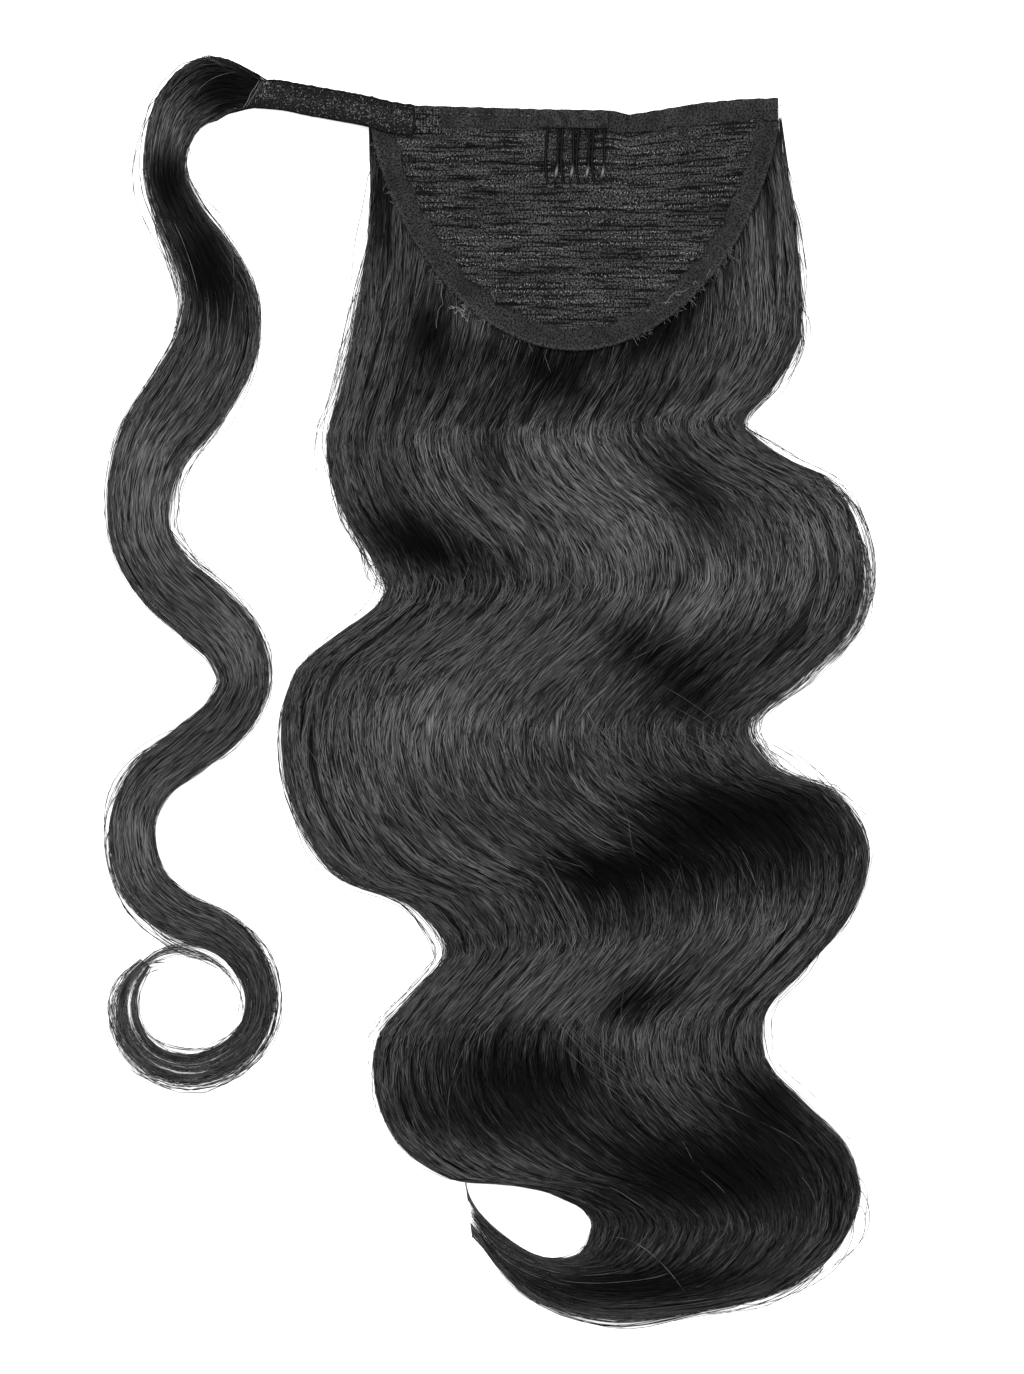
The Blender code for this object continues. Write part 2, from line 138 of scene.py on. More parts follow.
def addFloor():
    reach = backdrop["halfSize"]
    mesh = bpy.data.meshes.new("floor")
    corners = [(-reach, -reach, 0), (reach, -reach, 0), (reach, reach, 0), (-reach, reach, 0)]
    mesh.from_pydata(corners, [], [(0, 1, 2, 3)])
    mesh.materials.append(plainFinish("floorFinish", backdrop["colour"], backdrop["roughness"]))
    piece = bpy.data.objects.new("floor", mesh)
    bpy.context.scene.collection.objects.link(piece)


# materials

class Signal:
    # one socket in a material, so that sums of sockets read as sums

    def __init__(self, finish, socket):
        self.finish = finish
        self.socket = socket

    def join(self, operation, first, second=0.0, clamp=False):
        settings = {"operation": operation, "use_clamp": clamp}
        return self.finish.add("ShaderNodeMath", settings, {0: first, 1: second})[0]

    def __add__(self, other):
        return self.join("ADD", self, other)

    def __sub__(self, other):
        return self.join("SUBTRACT", self, other)

    def __rsub__(self, other):
        return self.join("SUBTRACT", other, self)

    def __mul__(self, other):
        return self.join("MULTIPLY", self, other)

    __radd__ = __add__
    __rmul__ = __mul__

    def wave(self):
        return self.join("SINE", self)

    def limited(self):
        return self.join("ADD", self, 0.0, clamp=True)


class Finish:
    # one material and the nodes in it

    def __init__(self, name):
        self.material = bpy.data.materials.new(name)
        self.material.use_nodes = True
        self.tree = self.material.node_tree
        self.tree.nodes.clear()

    def add(self, kind, settings=None, values=None):
        # any node: settings first, then the values or links of its sockets
        node = self.tree.nodes.new(kind)
        for key, value in (settings or {}).items():
            setattr(node, key, value)
        for key, value in (values or {}).items():
            if isinstance(value, Signal):
                self.tree.links.new(value.socket, node.inputs[key])
            else:
                node.inputs[key].default_value = value
        return [Signal(self, socket) for socket in node.outputs]

    def attribute(self, name):
        # the three numbers of a colour attribute
        colour = self.add("ShaderNodeAttribute", {"attribute_name": name})[0]
        return self.add("ShaderNodeSeparateColor", {}, {0: colour})[:3]

    def noise(self, across, along, width, length, detail, roughness):
        # patches of about a width and a length in millimetres, from places in metres
        values = {0: across * (1 / (width * mm)), 1: along * (1 / (length * mm))}
        place = self.add("ShaderNodeCombineXYZ", {}, values)[0]
        values = {"Vector": place, "Scale": 1.0, "Detail": detail, "Roughness": roughness}
        return self.add("ShaderNodeTexNoise", {"noise_dimensions": "2D"}, values)[0]

    def bump(self, height, depth):
        # a raised surface, with its depth in millimetres
        values = {"Strength": 1.0, "Distance": depth * mm, "Height": height}
        return self.add("ShaderNodeBump", {}, values)[0]

    def tinted(self, dark, bright, amount):
        values = {0: amount, 6: (*dark, 1.0), 7: (*bright, 1.0)}
        return self.add("ShaderNodeMix", {"data_type": "RGBA"}, values)[2]

    def finished(self, values, depth=None, deepColour=None):
        # a main shader, mixed toward a dark matt one for painted shade and dark specks where depth is
        # near 1
        shader = self.add("ShaderNodeBsdfPrincipled", {}, values)[0]
        if depth is not None:
            deep = self.add("ShaderNodeBsdfDiffuse", {}, {"Color": (*deepColour, 1.0)})[0]
            shader = self.add("ShaderNodeMixShader", {}, {0: depth, 1: shader, 2: deep})[0]
        self.add("ShaderNodeOutputMaterial", {}, {"Surface": shader})
        return self.material


hairLook = {
    "dark": (0.0035, 0.0035, 0.0036),
    "bright": (0.07, 0.0695, 0.0695),
    "toneShare": 0.5,
    # how much the painted highlight lightens the hair
    "paintedHighlightShare": 0.65,
    "roughness": 0.42,
    "specular": 0.5,
    # the dark matt colour, for painted shade and dull strands
    "deepColour": (0.0022, 0.0022, 0.0023),
    "grainDetail": 2.0,
    "grainRoughness": 0.6,
    "streakWidth": 0.5,
    "bodyStreak": 12.0,
    "strandStreak": 11.0,
    "streakContrast": 3.0,
    "streakTone": 1.6,
    "streakGaps": 1.7,
    "streakDepth": 0.1,
}


def hairFinish(name, streakLength):
    # attribute tone holds: the strand's own tone, painted shade (how dark it lies, mixed toward a dark
    # matt shader), and a painted highlight as a lift in lightness;
    # attribute flow holds the place across and along the hair, for its short streaks
    finish = Finish(name)
    tone, depth, lift = finish.attribute("tone")
    across, along, _ = finish.attribute("flow")
    sizes = hairLook["streakWidth"], streakLength, hairLook["grainDetail"], hairLook["grainRoughness"]
    grain = finish.noise(across, along, *sizes)
    streak = ((grain - 0.5) * hairLook["streakContrast"] + 0.5).limited()
    amount = tone * hairLook["toneShare"] + lift * hairLook["paintedHighlightShare"]
    amount = amount * (streak * hairLook["streakTone"] + (1 - hairLook["streakTone"] / 2))
    bare = (1 - depth) * (streak * hairLook["streakGaps"] + (1 - hairLook["streakGaps"] / 2))
    return finish.finished({
        "Base Color": finish.tinted(hairLook["dark"], hairLook["bright"], amount.limited()),
        "Roughness": hairLook["roughness"],
        "Specular IOR Level": hairLook["specular"],
        "Normal": finish.bump(grain, hairLook["streakDepth"]),
    }, (1 - bare).limited(), hairLook["deepColour"])


clothLook = {
    # the dark matt colour, for painted shade and dark specks
    "deepColour": (0.002, 0.002, 0.002),
    "specular": 0.1,
    "roughness": 0.8,
    "grainLength": 1.25,        # the length of a speck for its width
    "grainDetail": 1.0,
    "grainRoughness": 0.5,
    "leastTone": 0.1,
    "ribWander": 6.0,
    "ribShare": 0.15,
    "ribBump": 0.2,
    "speckTone": 1.7,
    "speckGaps": 1.2,
    "lineLength": 15.0,
    "lineWidth": 0.8,
    "lineLevel": 0.47,
    "lineSharpness": 9.0,
    "lineBump": 0.5,
}

knitLook = {
    "dark": (0.002, 0.002, 0.002),
    "bright": (0.054, 0.053, 0.053),
    "contrast": 4.8,
    "lines": 0.7,
    "ribPitch": 1.05,
    "grainSize": 0.55,
    "depth": 0.3,
}

hemLook = {
    "dark": (0.002, 0.002, 0.002),
    "bright": (0.022, 0.022, 0.022),
    "contrast": 2.4,
    "lines": 0.0,
    "ribPitch": 0.8,
    "grainSize": 0.6,
    "depth": 0.15,
}

loopLook = {
    "dark": (0.0015, 0.0015, 0.0015),
    "bright": (0.011, 0.011, 0.011),
    "contrast": 4.0,
    "lines": 0.0,
    "ribPitch": 0.9,
    "grainSize": 0.45,
    "depth": 0.25,
}


def clothFinish(name, dark, bright, contrast, lines, ribPitch, grainSize, depth):
    # knit or felt: specks, faint ribs and broken dark lines over the tones kept in the attribute, whose
    # second number is painted shade in grooves and creases
    finish = Finish(name)
    tone, shade, lift = finish.attribute("tone")
    across, along, _ = finish.attribute("flow")
    quality = clothLook["grainDetail"], clothLook["grainRoughness"]
    grain = finish.noise(across, along, grainSize, grainSize * clothLook["grainLength"], *quality)
    speck = ((grain - 0.5) * contrast + 0.5).limited()
    ribs = (across * (2 * math.pi / (ribPitch * mm)) + grain * clothLook["ribWander"]).wave()
    streaks = finish.noise(across, along, clothLook["lineLength"], clothLook["lineWidth"], *quality)
    line = 1 - ((clothLook["lineLevel"] - streaks) * clothLook["lineSharpness"]).limited() * lines
    pattern = speck * clothLook["speckTone"] + ribs * clothLook["ribShare"] + clothLook["leastTone"]
    amount = tone * pattern * line + lift
    bare = (1 - shade) * line * (speck * clothLook["speckGaps"] + (1 - clothLook["speckGaps"] / 2))
    relief = ribs * clothLook["ribBump"] + grain + line * clothLook["lineBump"]
    return finish.finished({
        "Base Color": finish.tinted(dark, bright, amount.limited()),
        "Roughness": clothLook["roughness"],
        "Specular IOR Level": clothLook["specular"],
        "Normal": finish.bump(relief, depth),
    }, (1 - bare).limited(), clothLook["deepColour"])


def plainFinish(name, colour, roughness):
    return Finish(name).finished({
        "Base Color": (*colour, 1.0),
        "Roughness": roughness,
        "Specular IOR Level": 0.5,
    })


lacquerLook = {
    "dark": (0.0015, 0.0015, 0.0015),
    # the colour of the painted glints
    "bright": (0.1, 0.1, 0.1),
    "roughness": 0.5,
    "specular": 0.05,
}

yarnLook = {
    "dark": (0.002, 0.002, 0.002),
    "bright": (0.2, 0.2, 0.2),
    "roughness": 0.6,
    "specular": 0.3,
}


def tonedFinish(name, dark, bright, roughness, specular):
    # a colour between two, as the attribute tone says
    finish = Finish(name)
    return finish.finished({
        "Base Color": finish.tinted(dark, bright, finish.attribute("tone")[0]),
        "Roughness": roughness,
        "Specular IOR Level": specular,
    })


# meshes

def stacked(*parts):
    # numbers side by side in a last axis, each spread to the shape of the largest
    return np.stack(np.broadcast_arrays(*parts), axis=-1)


def newPiece(name, points, faces, material, tones, flow, replaced=(), slot=None, rim=None, outward=False):
    # one object from points in plan millimetres, which may replace plain CAD nodes;
    # where rim is given, its points come once more at the end, for an underside
    mesh = bpy.data.meshes.new(name)
    points = toFrame(points).reshape(-1, 3)
    sizes = np.array([len(face) for face in faces])
    corners = np.concatenate([np.asarray(face) for face in faces])
    mesh.vertices.add(len(points))
    mesh.vertices.foreach_set("co", points.reshape(-1))
    mesh.loops.add(len(corners))
    mesh.loops.foreach_set("vertex_index", corners.astype(np.int32))
    mesh.polygons.add(len(sizes))
    mesh.polygons.foreach_set("loop_start", np.concatenate(([0], np.cumsum(sizes)[:-1])).astype(np.int32))
    mesh.polygons.foreach_set("use_smooth", np.ones(len(sizes), dtype=bool))
    mesh.update(calc_edges=True)
    for label, values in (("tone", tones), ("flow", flow)):
        values = np.asarray(values).reshape(-1, 3)
        if rim is not None:
            values = np.concatenate([values, values[rim]])
        layer = mesh.attributes.new(label, "FLOAT_COLOR", "POINT")
        layer.data.foreach_set("color", np.insert(values, 3, 1.0, axis=1).reshape(-1))
    if outward:
        shape = bmesh.new()
        shape.from_mesh(mesh)
        bmesh.ops.recalc_face_normals(shape, faces=shape.faces)
        shape.to_mesh(mesh)
        shape.free()
    mesh.materials.append(material)
    piece = bpy.data.objects.new(name, mesh)
    bpy.context.scene.collection.objects.link(piece)
    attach(piece, "root")
    for node in replaced:
        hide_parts(node)
    return piece


def slab(top, under, ends=1):
    # a closed body from a grid of top points down to the rim of a lower grid; also the rim's indices.
    # One face of the underside closes as many rows as ends says at either end
    rows, columns, _ = top.shape
    start = (np.arange(rows - 1)[:, None] * columns + np.arange(columns - 1)).reshape(-1)
    upper = np.stack([start + columns, start + columns + 1, start + 1, start], axis=1)
    rim = np.concatenate([
        np.arange(columns), columns - 1 + np.arange(1, rows) * columns,
        (rows - 1) * columns + np.arange(columns - 2, -1, -1), np.arange(rows - 2, 0, -1) * columns,
    ])
    here = np.arange(len(rim))
    after = np.roll(here, -1)
    first = rows * columns
    walls = np.stack([rim, rim[after], first + after, first + here], axis=1)
    right = columns - 1 + np.arange(rows)
    left = (2 * (columns - 1) + 2 * (rows - 1) - np.arange(rows)) % len(rim)
    near, far = slice(ends, -1 - ends), slice(ends + 1, rows - ends)
    ladder = first + np.stack([left[near], right[near], right[far], left[far]], axis=1)
    firstEnd = first + np.arange(left[ends], right[ends] + len(rim) + 1) % len(rim)
    lastEnd = first + np.arange(right[-1 - ends], left[-1 - ends] + 1)
    points = np.concatenate([top.reshape(-1, 3), under.reshape(-1, 3)[rim]])
    return points, [*upper, *walls, *ladder, firstEnd, lastEnd], rim


def swept(rings):
    # a closed body through rings of equal length
    count, sides, _ = rings.shape
    here = np.arange(sides)
    after = (here + 1) % sides
    first = (np.arange(count - 1) * sides)[:, None]
    quads = np.stack([first + here, first + after, first + sides + after, first + sides + here], axis=-1)
    return rings.reshape(-1, 3), [*quads.reshape(-1, 4), here[::-1], here + (count - 1) * sides]


def tubes(paths, radii, sides=3):
    # closed tubes along many paths of equal length, as points and faces
    count, length, _ = paths.shape
    along = np.gradient(paths, axis=1)
    along /= np.linalg.norm(along, axis=2, keepdims=True) + 1e-9
    side = np.cross(along, (0.0, 0.0, 1.0))
    side /= np.linalg.norm(side, axis=2, keepdims=True) + 1e-9
    up = np.cross(side, along)
    angles = 2 * np.pi * (np.arange(sides) + 0.25) / sides
    ring = side[:, :, None] * np.cos(angles)[:, None] + up[:, :, None] * np.sin(angles)[:, None]
    points = paths[:, :, None] + ring * np.broadcast_to(radii, (count, length))[:, :, None, None]
    first = (np.arange(count) * length * sides)[:, None, None]
    step = (np.arange(length - 1) * sides)[None, :, None]
    here = np.arange(sides)[None, None]
    after = (here + 1) % sides
    quads = np.stack([
        first + step + here, first + step + after,
        first + step + sides + after, first + step + sides + here,
    ], axis=-1).reshape(-1, 4)
    caps = first[:, 0] + np.arange(sides)[None]
    return points, [*quads, *caps[:, ::-1], *(caps + (length - 1) * sides)]


def addFibres(name, paths, radii, material, tones=(0.5, 0.0, 0.0), sides=3, **links):
    # many thin tubes as one piece, with a tone for each point of each path
    points, faces = tubes(paths, radii, sides)
    tones = np.broadcast_to(tones, paths.shape)
    steps = np.linalg.norm(np.diff(paths, axis=1), axis=2)
    run = np.insert(np.cumsum(steps, axis=1), 0, 0.0, axis=1) * mm
    fibre = 0.01 * np.arange(len(paths))[:, None]
    flow = np.repeat(stacked(fibre, run, 0)[:, :, None], sides, axis=2)
    tones = np.repeat(tones[:, :, None], sides, axis=2)
    return newPiece(name, points, faces, material, tones, flow, **links)


# random but smooth numbers

class Wander:
    # a smooth random walk for each of several members, about -1 to 1

    def __init__(self, rng, members, wavelength, octaves=3):
        self.octaves = octaves
        self.phase = rng.uniform(0, 2 * np.pi, (octaves, members))
        self.pace = rng.uniform(0.7, 1.4, (octaves, members)) * 2 * np.pi / wavelength

    def at(self, members, along):
        total = 0.0
        for octave in range(self.octaves):
            pace = self.pace[octave][members][:, None] * 2**octave
            total = total + np.sin(along * pace + self.phase[octave][members][:, None]) / 2**octave
        return total / (2 - 0.5 ** (self.octaves - 1))


def waver(rng, wavelength, along):
    # one smooth random walk, read at places along it
    return Wander(rng, 1, wavelength).at(np.array([0]), along)


def mottle(rng, x, y, size, waves=14):
    # smooth random patches over a surface, about -1 to 1
    total = np.zeros_like(x)
    for _ in range(waves):
        turn, phase = rng.uniform(0, 2 * np.pi, 2)
        pace = 2 * np.pi / (size * rng.uniform(0.7, 1.8))
        total += np.sin((x * math.cos(turn) + y * math.sin(turn)) * pace + phase)
    return total / math.sqrt(waves)


# the flow of the hair

fallRows = (
    # left x, left y, right x, right y, left rise, right rise
    (-69.0, -3.0, 69.0, -3.0, 9, 9),
    (-69.5, -50.5, 76.0, -59.0, 15, 16),
    (-72.5, -69.0, 76.0, -77.5, 17, 19),
    (-78.0, -94.5, 66.5, -95.0, 22, 24),
    (-83.5, -116.0, 56.0, -108.0, 26, 24),
    (-78.0, -137.0, 65.5, -116.5, 22, 22),
    (-67.5, -154.0, 88.5, -130.0, 14, 27),
    (-63.0, -165.0, 97.5, -157.5, 14, 29),
    (-76.0, -177.0, 93.5, -176.0, 22, 24),
    (-93.5, -191.5, 76.5, -194.0, 27, 17),
    (-98.5, -217.0, 57.0, -212.0, 29, 20),
    (-94.0, -239.0, 64.5, -224.0, 28, 15),
    (-80.0, -260.5, 88.5, -234.5, 23, 12),
    (-51.5, -273.0, 98.5, -252.5, 17, 16),
    (-42.0, -286.5, 93.5, -273.0, 20, 24),
    (-53.5, -301.5, 77.0, -293.5, 23, 22),
    (-66.0, -317.0, 63.0, -309.5, 22, 22),
    (-67.0, -334.0, 63.5, -324.0, 17, 20),
    (-59.5, -352.0, 76.5, -338.5, 15, 15),
    (-42.5, -364.0, 91.0, -353.5, 14, 13),
    (-12.0, -368.0, 96.0, -370.0, 12, 16),
    (7.0, -379.0, 91.0, -385.0, 12, 17),
    (2.5, -390.5, 71.5, -402.0, 10, 12),
    (-10.0, -392.0, 42.5, -409.5, 9, 10),
    (-23.0, -385.0, 8.5, -411.5, 8, 8),
    (-31.5, -378.5, -18.5, -401.0, 6, 6),
    (-36.5, -371.5, -35.5, -380.0, 4, 4),
)

hollows = (
    # x, y, half length, half width, turn in degrees, depth
    (-2.0, -95.0, 14.0, 9.0, 85, 6.0),
    (-42.0, -157.0, 26.0, 8.0, -8, 6.0),
    (60.0, -190.0, 26.0, 6.0, 20, 4.0),
    (28.0, -165.0, 18.0, 6.0, 55, 3.0),
    (66.0, -243.0, 34.0, 11.0, 4, 6.0),
    (22.0, -259.0, 26.0, 8.0, 12, 6.0),
    (27.0, -303.0, 14.0, 5.0, 25, 4.0),
    (-18.0, -325.0, 30.0, 9.0, -25, 4.0),
    (40.0, -360.0, 34.0, 12.0, -8, 4.0),
)

# ovals of painted shade and painted highlight on the fall of hair
fallPaintedLight = (
    # x, y, half length, half width, turn in degrees, painted shade below 0 or painted highlight above
    (-67.0, -33.0, 22.0, 6.0, 90, -0.9),
    (-49.5, -78.0, 16.0, 9.0, 85, -1.0),
    (-14.0, -85.0, 42.0, 7.0, 0, -1.0),
    (-8.0, -93.0, 13.0, 9.0, 0, -1.0),
    (34.0, -71.0, 21.0, 6.5, 42, -1.0),
    (26.0, -80.5, 14.0, 5.5, 25, -0.9),
    (-27.0, -116.0, 16.0, 5.0, 90, -0.5),
    (-55.0, -148.5, 20.0, 8.0, -20, -1.0),
    (39.0, -131.0, 17.0, 8.0, -50, -0.8),
    (29.0, -188.0, 26.0, 9.5, -26, -1.0),
    (38.0, -203.0, 16.0, 7.0, -10, -0.75),
    (57.0, -243.0, 44.0, 17.0, 0, -1.0),
    (58.0, -261.0, 30.0, 9.0, 0, -0.6),
    (14.0, -261.0, 28.0, 10.5, 8, -1.0),
    (8.0, -276.0, 28.0, 8.0, 0, -0.5),
    (22.5, -303.0, 14.0, 7.0, 15, -1.0),
    (-20.0, -330.0, 34.0, 16.0, -10, -0.95),
    (-32.0, -345.0, 32.0, 8.0, -5, -0.8),
    (46.0, -363.0, 55.0, 19.0, 0, -1.0),
    (66.0, -338.0, 17.0, 15.0, 0, -0.95),
    (22.0, -400.0, 44.0, 8.0, 2, -0.95),
    (10.0, -139.0, 38.0, 17.0, -55, 1.0),
    (-28.0, -139.0, 15.0, 9.0, -20, 0.8),
    (55.0, -165.0, 32.0, 10.0, 5, 0.9),
    (81.0, -153.0, 22.0, 12.0, 80, 1.0),
    (-78.0, -236.0, 16.0, 14.0, 0, 0.6),
    (42.5, -105.0, 15.0, 5.0, 5, 0.6),
    (64.5, -60.5, 20.0, 8.0, 80, 0.6),
    (-49.0, -123.0, 15.0, 7.0, 90, 0.5),
    (-53.0, -209.0, 30.0, 14.0, 0, 0.7),
    (-42.5, -259.0, 28.0, 8.0, -12, 0.4),
    (10.0, -234.0, 11.0, 6.0, -30, 0.6),
    (66.0, -278.0, 15.0, 14.0, 0, 0.3),
    (25.5, -323.0, 16.0, 10.0, 80, 0.4),
)

wrapRows = (
    # middle x, middle y, width, rise
    (-105.5, 4.9, 9.0, 3.0),
    (-112.5, 6.4, 14.0, 3.3),
    (-124.0, 6.8, 21.6, 6.0),
    (-133.5, 0.5, 18.5, 7.0),
    (-138.5, -10.5, 14.0, 7.5),
    (-139.5, -23.5, 13.0, 7.5),
    (-135.0, -36.0, 14.5, 7.0),
    (-127.0, -50.0, 17.5, 6.5),
    (-121.0, -66.0, 22.5, 7.0),
    (-122.5, -80.5, 24.5, 8.0),
    (-132.0, -98.5, 25.5, 8.5),
    (-143.0, -113.5, 22.5, 8.5),
    (-148.5, -132.5, 19.5, 8.0),
    (-148.0, -145.5, 18.5, 7.5),
    (-141.0, -159.0, 19.0, 7.0),
    (-127.5, -171.5, 19.5, 7.0),
    (-116.5, -183.0, 17.5, 7.5),
    (-113.0, -195.5, 15.5, 7.5),
    (-118.0, -206.5, 15.5, 7.0),
    (-131.0, -218.0, 15.0, 6.5),
    (-144.5, -229.0, 14.5, 6.5),
    (-150.5, -241.5, 14.0, 6.5),
    (-150.5, -252.5, 14.0, 6.5),
    (-146.0, -265.0, 14.0, 6.5),
    (-135.0, -274.5, 13.5, 6.0),
    (-120.5, -281.0, 12.0, 6.0),
    (-111.5, -289.5, 10.0, 5.5),
    (-107.5, -300.5, 8.0, 5.0),
    (-109.0, -312.0, 7.0, 4.5),
    (-116.5, -321.5, 7.2, 4.5),
    (-131.0, -327.0, 7.2, 4.0),
    (-145.0, -322.5, 6.0, 3.5),
    (-152.5, -310.5, 4.5, 3.0),
    (-151.5, -299.0, 3.2, 2.5),
    (-146.0, -291.5, 1.6, 1.8),
)

# ovals of painted shade and painted highlight on the wrap lock
wrapPaintedLight = (
    # x, y, half length, half width, turn in degrees, painted shade below 0 or painted highlight above
    (-119.5, 7.0, 14.0, 12.0, -10, -1.0),
    (-138.0, -26.0, 14.0, 8.0, -82, -1.0),
    (-124.5, -55.0, 27.0, 12.0, -72, -1.0),
    (-138.5, -9.0, 10.0, 7.0, 80, 0.9),
    (-147.0, -130.0, 24.0, 10.0, 90, 1.0),
    (-114.0, -181.0, 14.0, 8.0, 90, 0.9),
    (-151.0, -253.0, 14.0, 8.0, 90, 0.9),
)


def smoothAt(rows, places):
    # a smooth curve through rows of numbers, read at row places such as 3.4
    rows = np.asarray(rows, dtype=float)
    gaps = np.linalg.norm(np.diff(rows[:, :2], axis=0), axis=1)[:, None]
    slopes = np.diff(rows, axis=0) / gaps
    tangents = np.empty_like(rows)
    tangents[0], tangents[-1] = slopes[0], slopes[-1]
    tangents[1:-1] = (slopes[:-1] * gaps[1:] + slopes[1:] * gaps[:-1]) / (gaps[1:] + gaps[:-1])
    places = np.asarray(places, dtype=float)
    index = np.clip(places.astype(int), 0, len(rows) - 2)
    t = (places - index)[..., None]
    gap = gaps[index]
    return (
        (2 * t**3 - 3 * t**2 + 1) * rows[index] + (t**3 - 2 * t**2 + t) * gap * tangents[index]
        + (3 * t**2 - 2 * t**3) * rows[index + 1] + (t**3 - t**2) * gap * tangents[index + 1]
    )


def nearness(x, y, midX, midY, halfLength, halfWidth, turn, steepness=2):
    # 1 in the middle of a turned oval, falling to 0 outside it
    cosine, sine = math.cos(math.radians(turn)), math.sin(math.radians(turn))
    along = ((x - midX) * cosine + (y - midY) * sine) / halfLength
    across = ((y - midY) * cosine - (x - midX) * sine) / halfWidth
    return np.exp(-np.abs(along) ** 3 - np.abs(across) ** steepness)


def underBase(y):
    # the base's underside, far above the hair where there is no base
    return baseHeight - baseSlope * y + 0.02 * np.maximum(0.0, -88.0 - y) ** 2


bandLook = {
    "steps": 1500,              # how finely a band is measured along its length
    "bendPace": 14.0,           # how much closer the stations lie in a bend
    "crownPower": 3,
    "lowest": 1.5,
    "baseGap": 0.4,
}


class Flow:
    # a band of hair between a left and a right edge, read by share across and length along

    def __init__(self, left, right, look, dips, tones):
        self.left = left
        self.right = right
        self.look = look
        self.dips = dips
        # ovals of painted shade and painted highlight
        self.tones = tones
        self.fine = np.linspace(0, len(left) - 1, bandLook["steps"])
        middle = (smoothAt(left, self.fine)[:, :2] + smoothAt(right, self.fine)[:, :2]) / 2
        steps = np.linalg.norm(np.diff(middle, axis=0), axis=1)
        self.run = np.concatenate(([0], np.cumsum(steps)))
        self.length = self.run[-1]
        course = np.diff(middle, axis=0)
        heading = np.unwrap(np.arctan2(course[:, 1], course[:, 0]))
        turning = np.abs(np.diff(heading, prepend=heading[0]))
        self.pace = np.concatenate(([0], np.cumsum(steps + bandLook["bendPace"] * turning)))

    def at(self, share, along):
        # plan points and rise; a share below 0 or above 1 lies outside the band
        place = np.interp(along, self.run, self.fine)
        left = smoothAt(self.left, place)
        right = smoothAt(self.right, place)
        return left + (right - left) * np.asarray(share)[..., None]

    def stations(self, start, end, count):
        # places along the band, closer together where it bends
        first, last = np.interp(start, self.run, self.pace), np.interp(end, self.run, self.pace)
        return np.interp(first + (last - first) * np.linspace(0, 1, count)[None], self.pace, self.run)

    def width(self, along):
        place = np.interp(along, self.run, self.fine)
        across = smoothAt(self.right, place) - smoothAt(self.left, place)
        return np.linalg.norm(across[..., :2], axis=-1)

    def surface(self, share, along):
        # points on the top of the band
        spots = self.at(share, along)
        x, y, rise = spots[..., 0], spots[..., 1], spots[..., 2]
        edge = np.minimum(self.look["edgeMost"], self.look["edgeShare"] * rise)
        crown = np.sqrt(1 - np.clip(np.abs(2 * share - 1), 0, 1) ** bandLook["crownPower"])
        dip = sum(row[5] * nearness(x, y, *row[:5]) for row in self.dips)
        height = np.maximum(edge + (rise - edge - dip) * crown, bandLook["lowest"])
        return stacked(x, y, np.minimum(height, underBase(y) - bandLook["baseGap"]))

    def shading(self, points):
        # painted shade and painted highlight at each point, from the ovals of its table
        x, y = points[..., 0], points[..., 1]
        shade = np.zeros_like(x)
        lift = np.zeros_like(x)
        for row in self.tones:
            near = nearness(x, y, *row[:5], steepness=3) * abs(row[5])
            if row[5] < 0:
                shade = 1 - (1 - shade) * (1 - near)
            else:
                lift = np.maximum(lift, near)
        return shade, lift * (1 - shade)


def lockEdges(rng, count):
    # edges of the locks across the band, uneven in width
    cuts = np.cumsum(rng.uniform(0.4, 1.6, count))
    return np.concatenate(([0], cuts / cuts[-1]))


fallHair = {
    "seed": 11,
    "edgeMost": 3.0,
    "edgeShare": 0.4,
    "locks": 64,
    "bodyColumns": 90,
    "bodyRows": 240,
    "bodyEnd": 0.94,
    "bodyInset": 0.9,
    "bodySink": 4.2,
    "grooveDepth": 0.6,
    "strands": 1700,
    "segments": 48,
    "radius": (0.1, 0.19),
    "layerDepth": 2.6,
    "lockDrift": 0.022,
    "lockWave": 170.0,
    "lockRise": 0.8,
    "lockRound": 0.8,
    "strandDrift": 0.007,
    "strandRise": 0.5,
    "borderStrands": 0.06,
    "endSpread": 38.0,
    "endPower": 0.7,
    "endSlope": 0.0,
    "underBase": 10.0,          # how far the strands reach back under the base, and how unevenly
    "underScatter": 14.0,
    "rootScatter": 2.0,
    "strays": 30,
}

wrapHair = {
    "seed": 23,
    "edgeMost": 9.0,
    "edgeShare": 0.35,
    "locks": 16,
    "bodyColumns": 22,
    "bodyRows": 220,
    "bodyEnd": 0.86,
    "bodyInset": 1.3,
    "bodySink": 2.2,
    "grooveDepth": 0.3,
    "strands": 250,
    "segments": 68,
    "radius": (0.09, 0.17),
    "layerDepth": 1.4,
    "lockDrift": 0.05,
    "lockWave": 120.0,
    "lockRise": 0.4,
    "lockRound": 0.4,
    "strandDrift": 0.02,
    "strandRise": 0.3,
    "borderStrands": 0.1,
    "endSpread": 16.0,
    "endPower": 1.5,
    "endSlope": 45.0,           # how much sooner the strands on the curl's inner side end
    "rootScatter": 6.0,
}

bodyLook = {
    "insetMost": 0.3,
    "lowest": 0.5,
    "lowEdge": 1.6,
    "underside": 0.15,
    "tone": 0.3,
    # how much darker the grooves between locks are, as painted shade
    "paintedGrooveShade": 0.2,
    # the share of the body kept out of the dark matt shader; the rest is painted shade
    "light": 0.3,
    # the share of the painted highlight that the body takes
    "lift": 0.4,
}

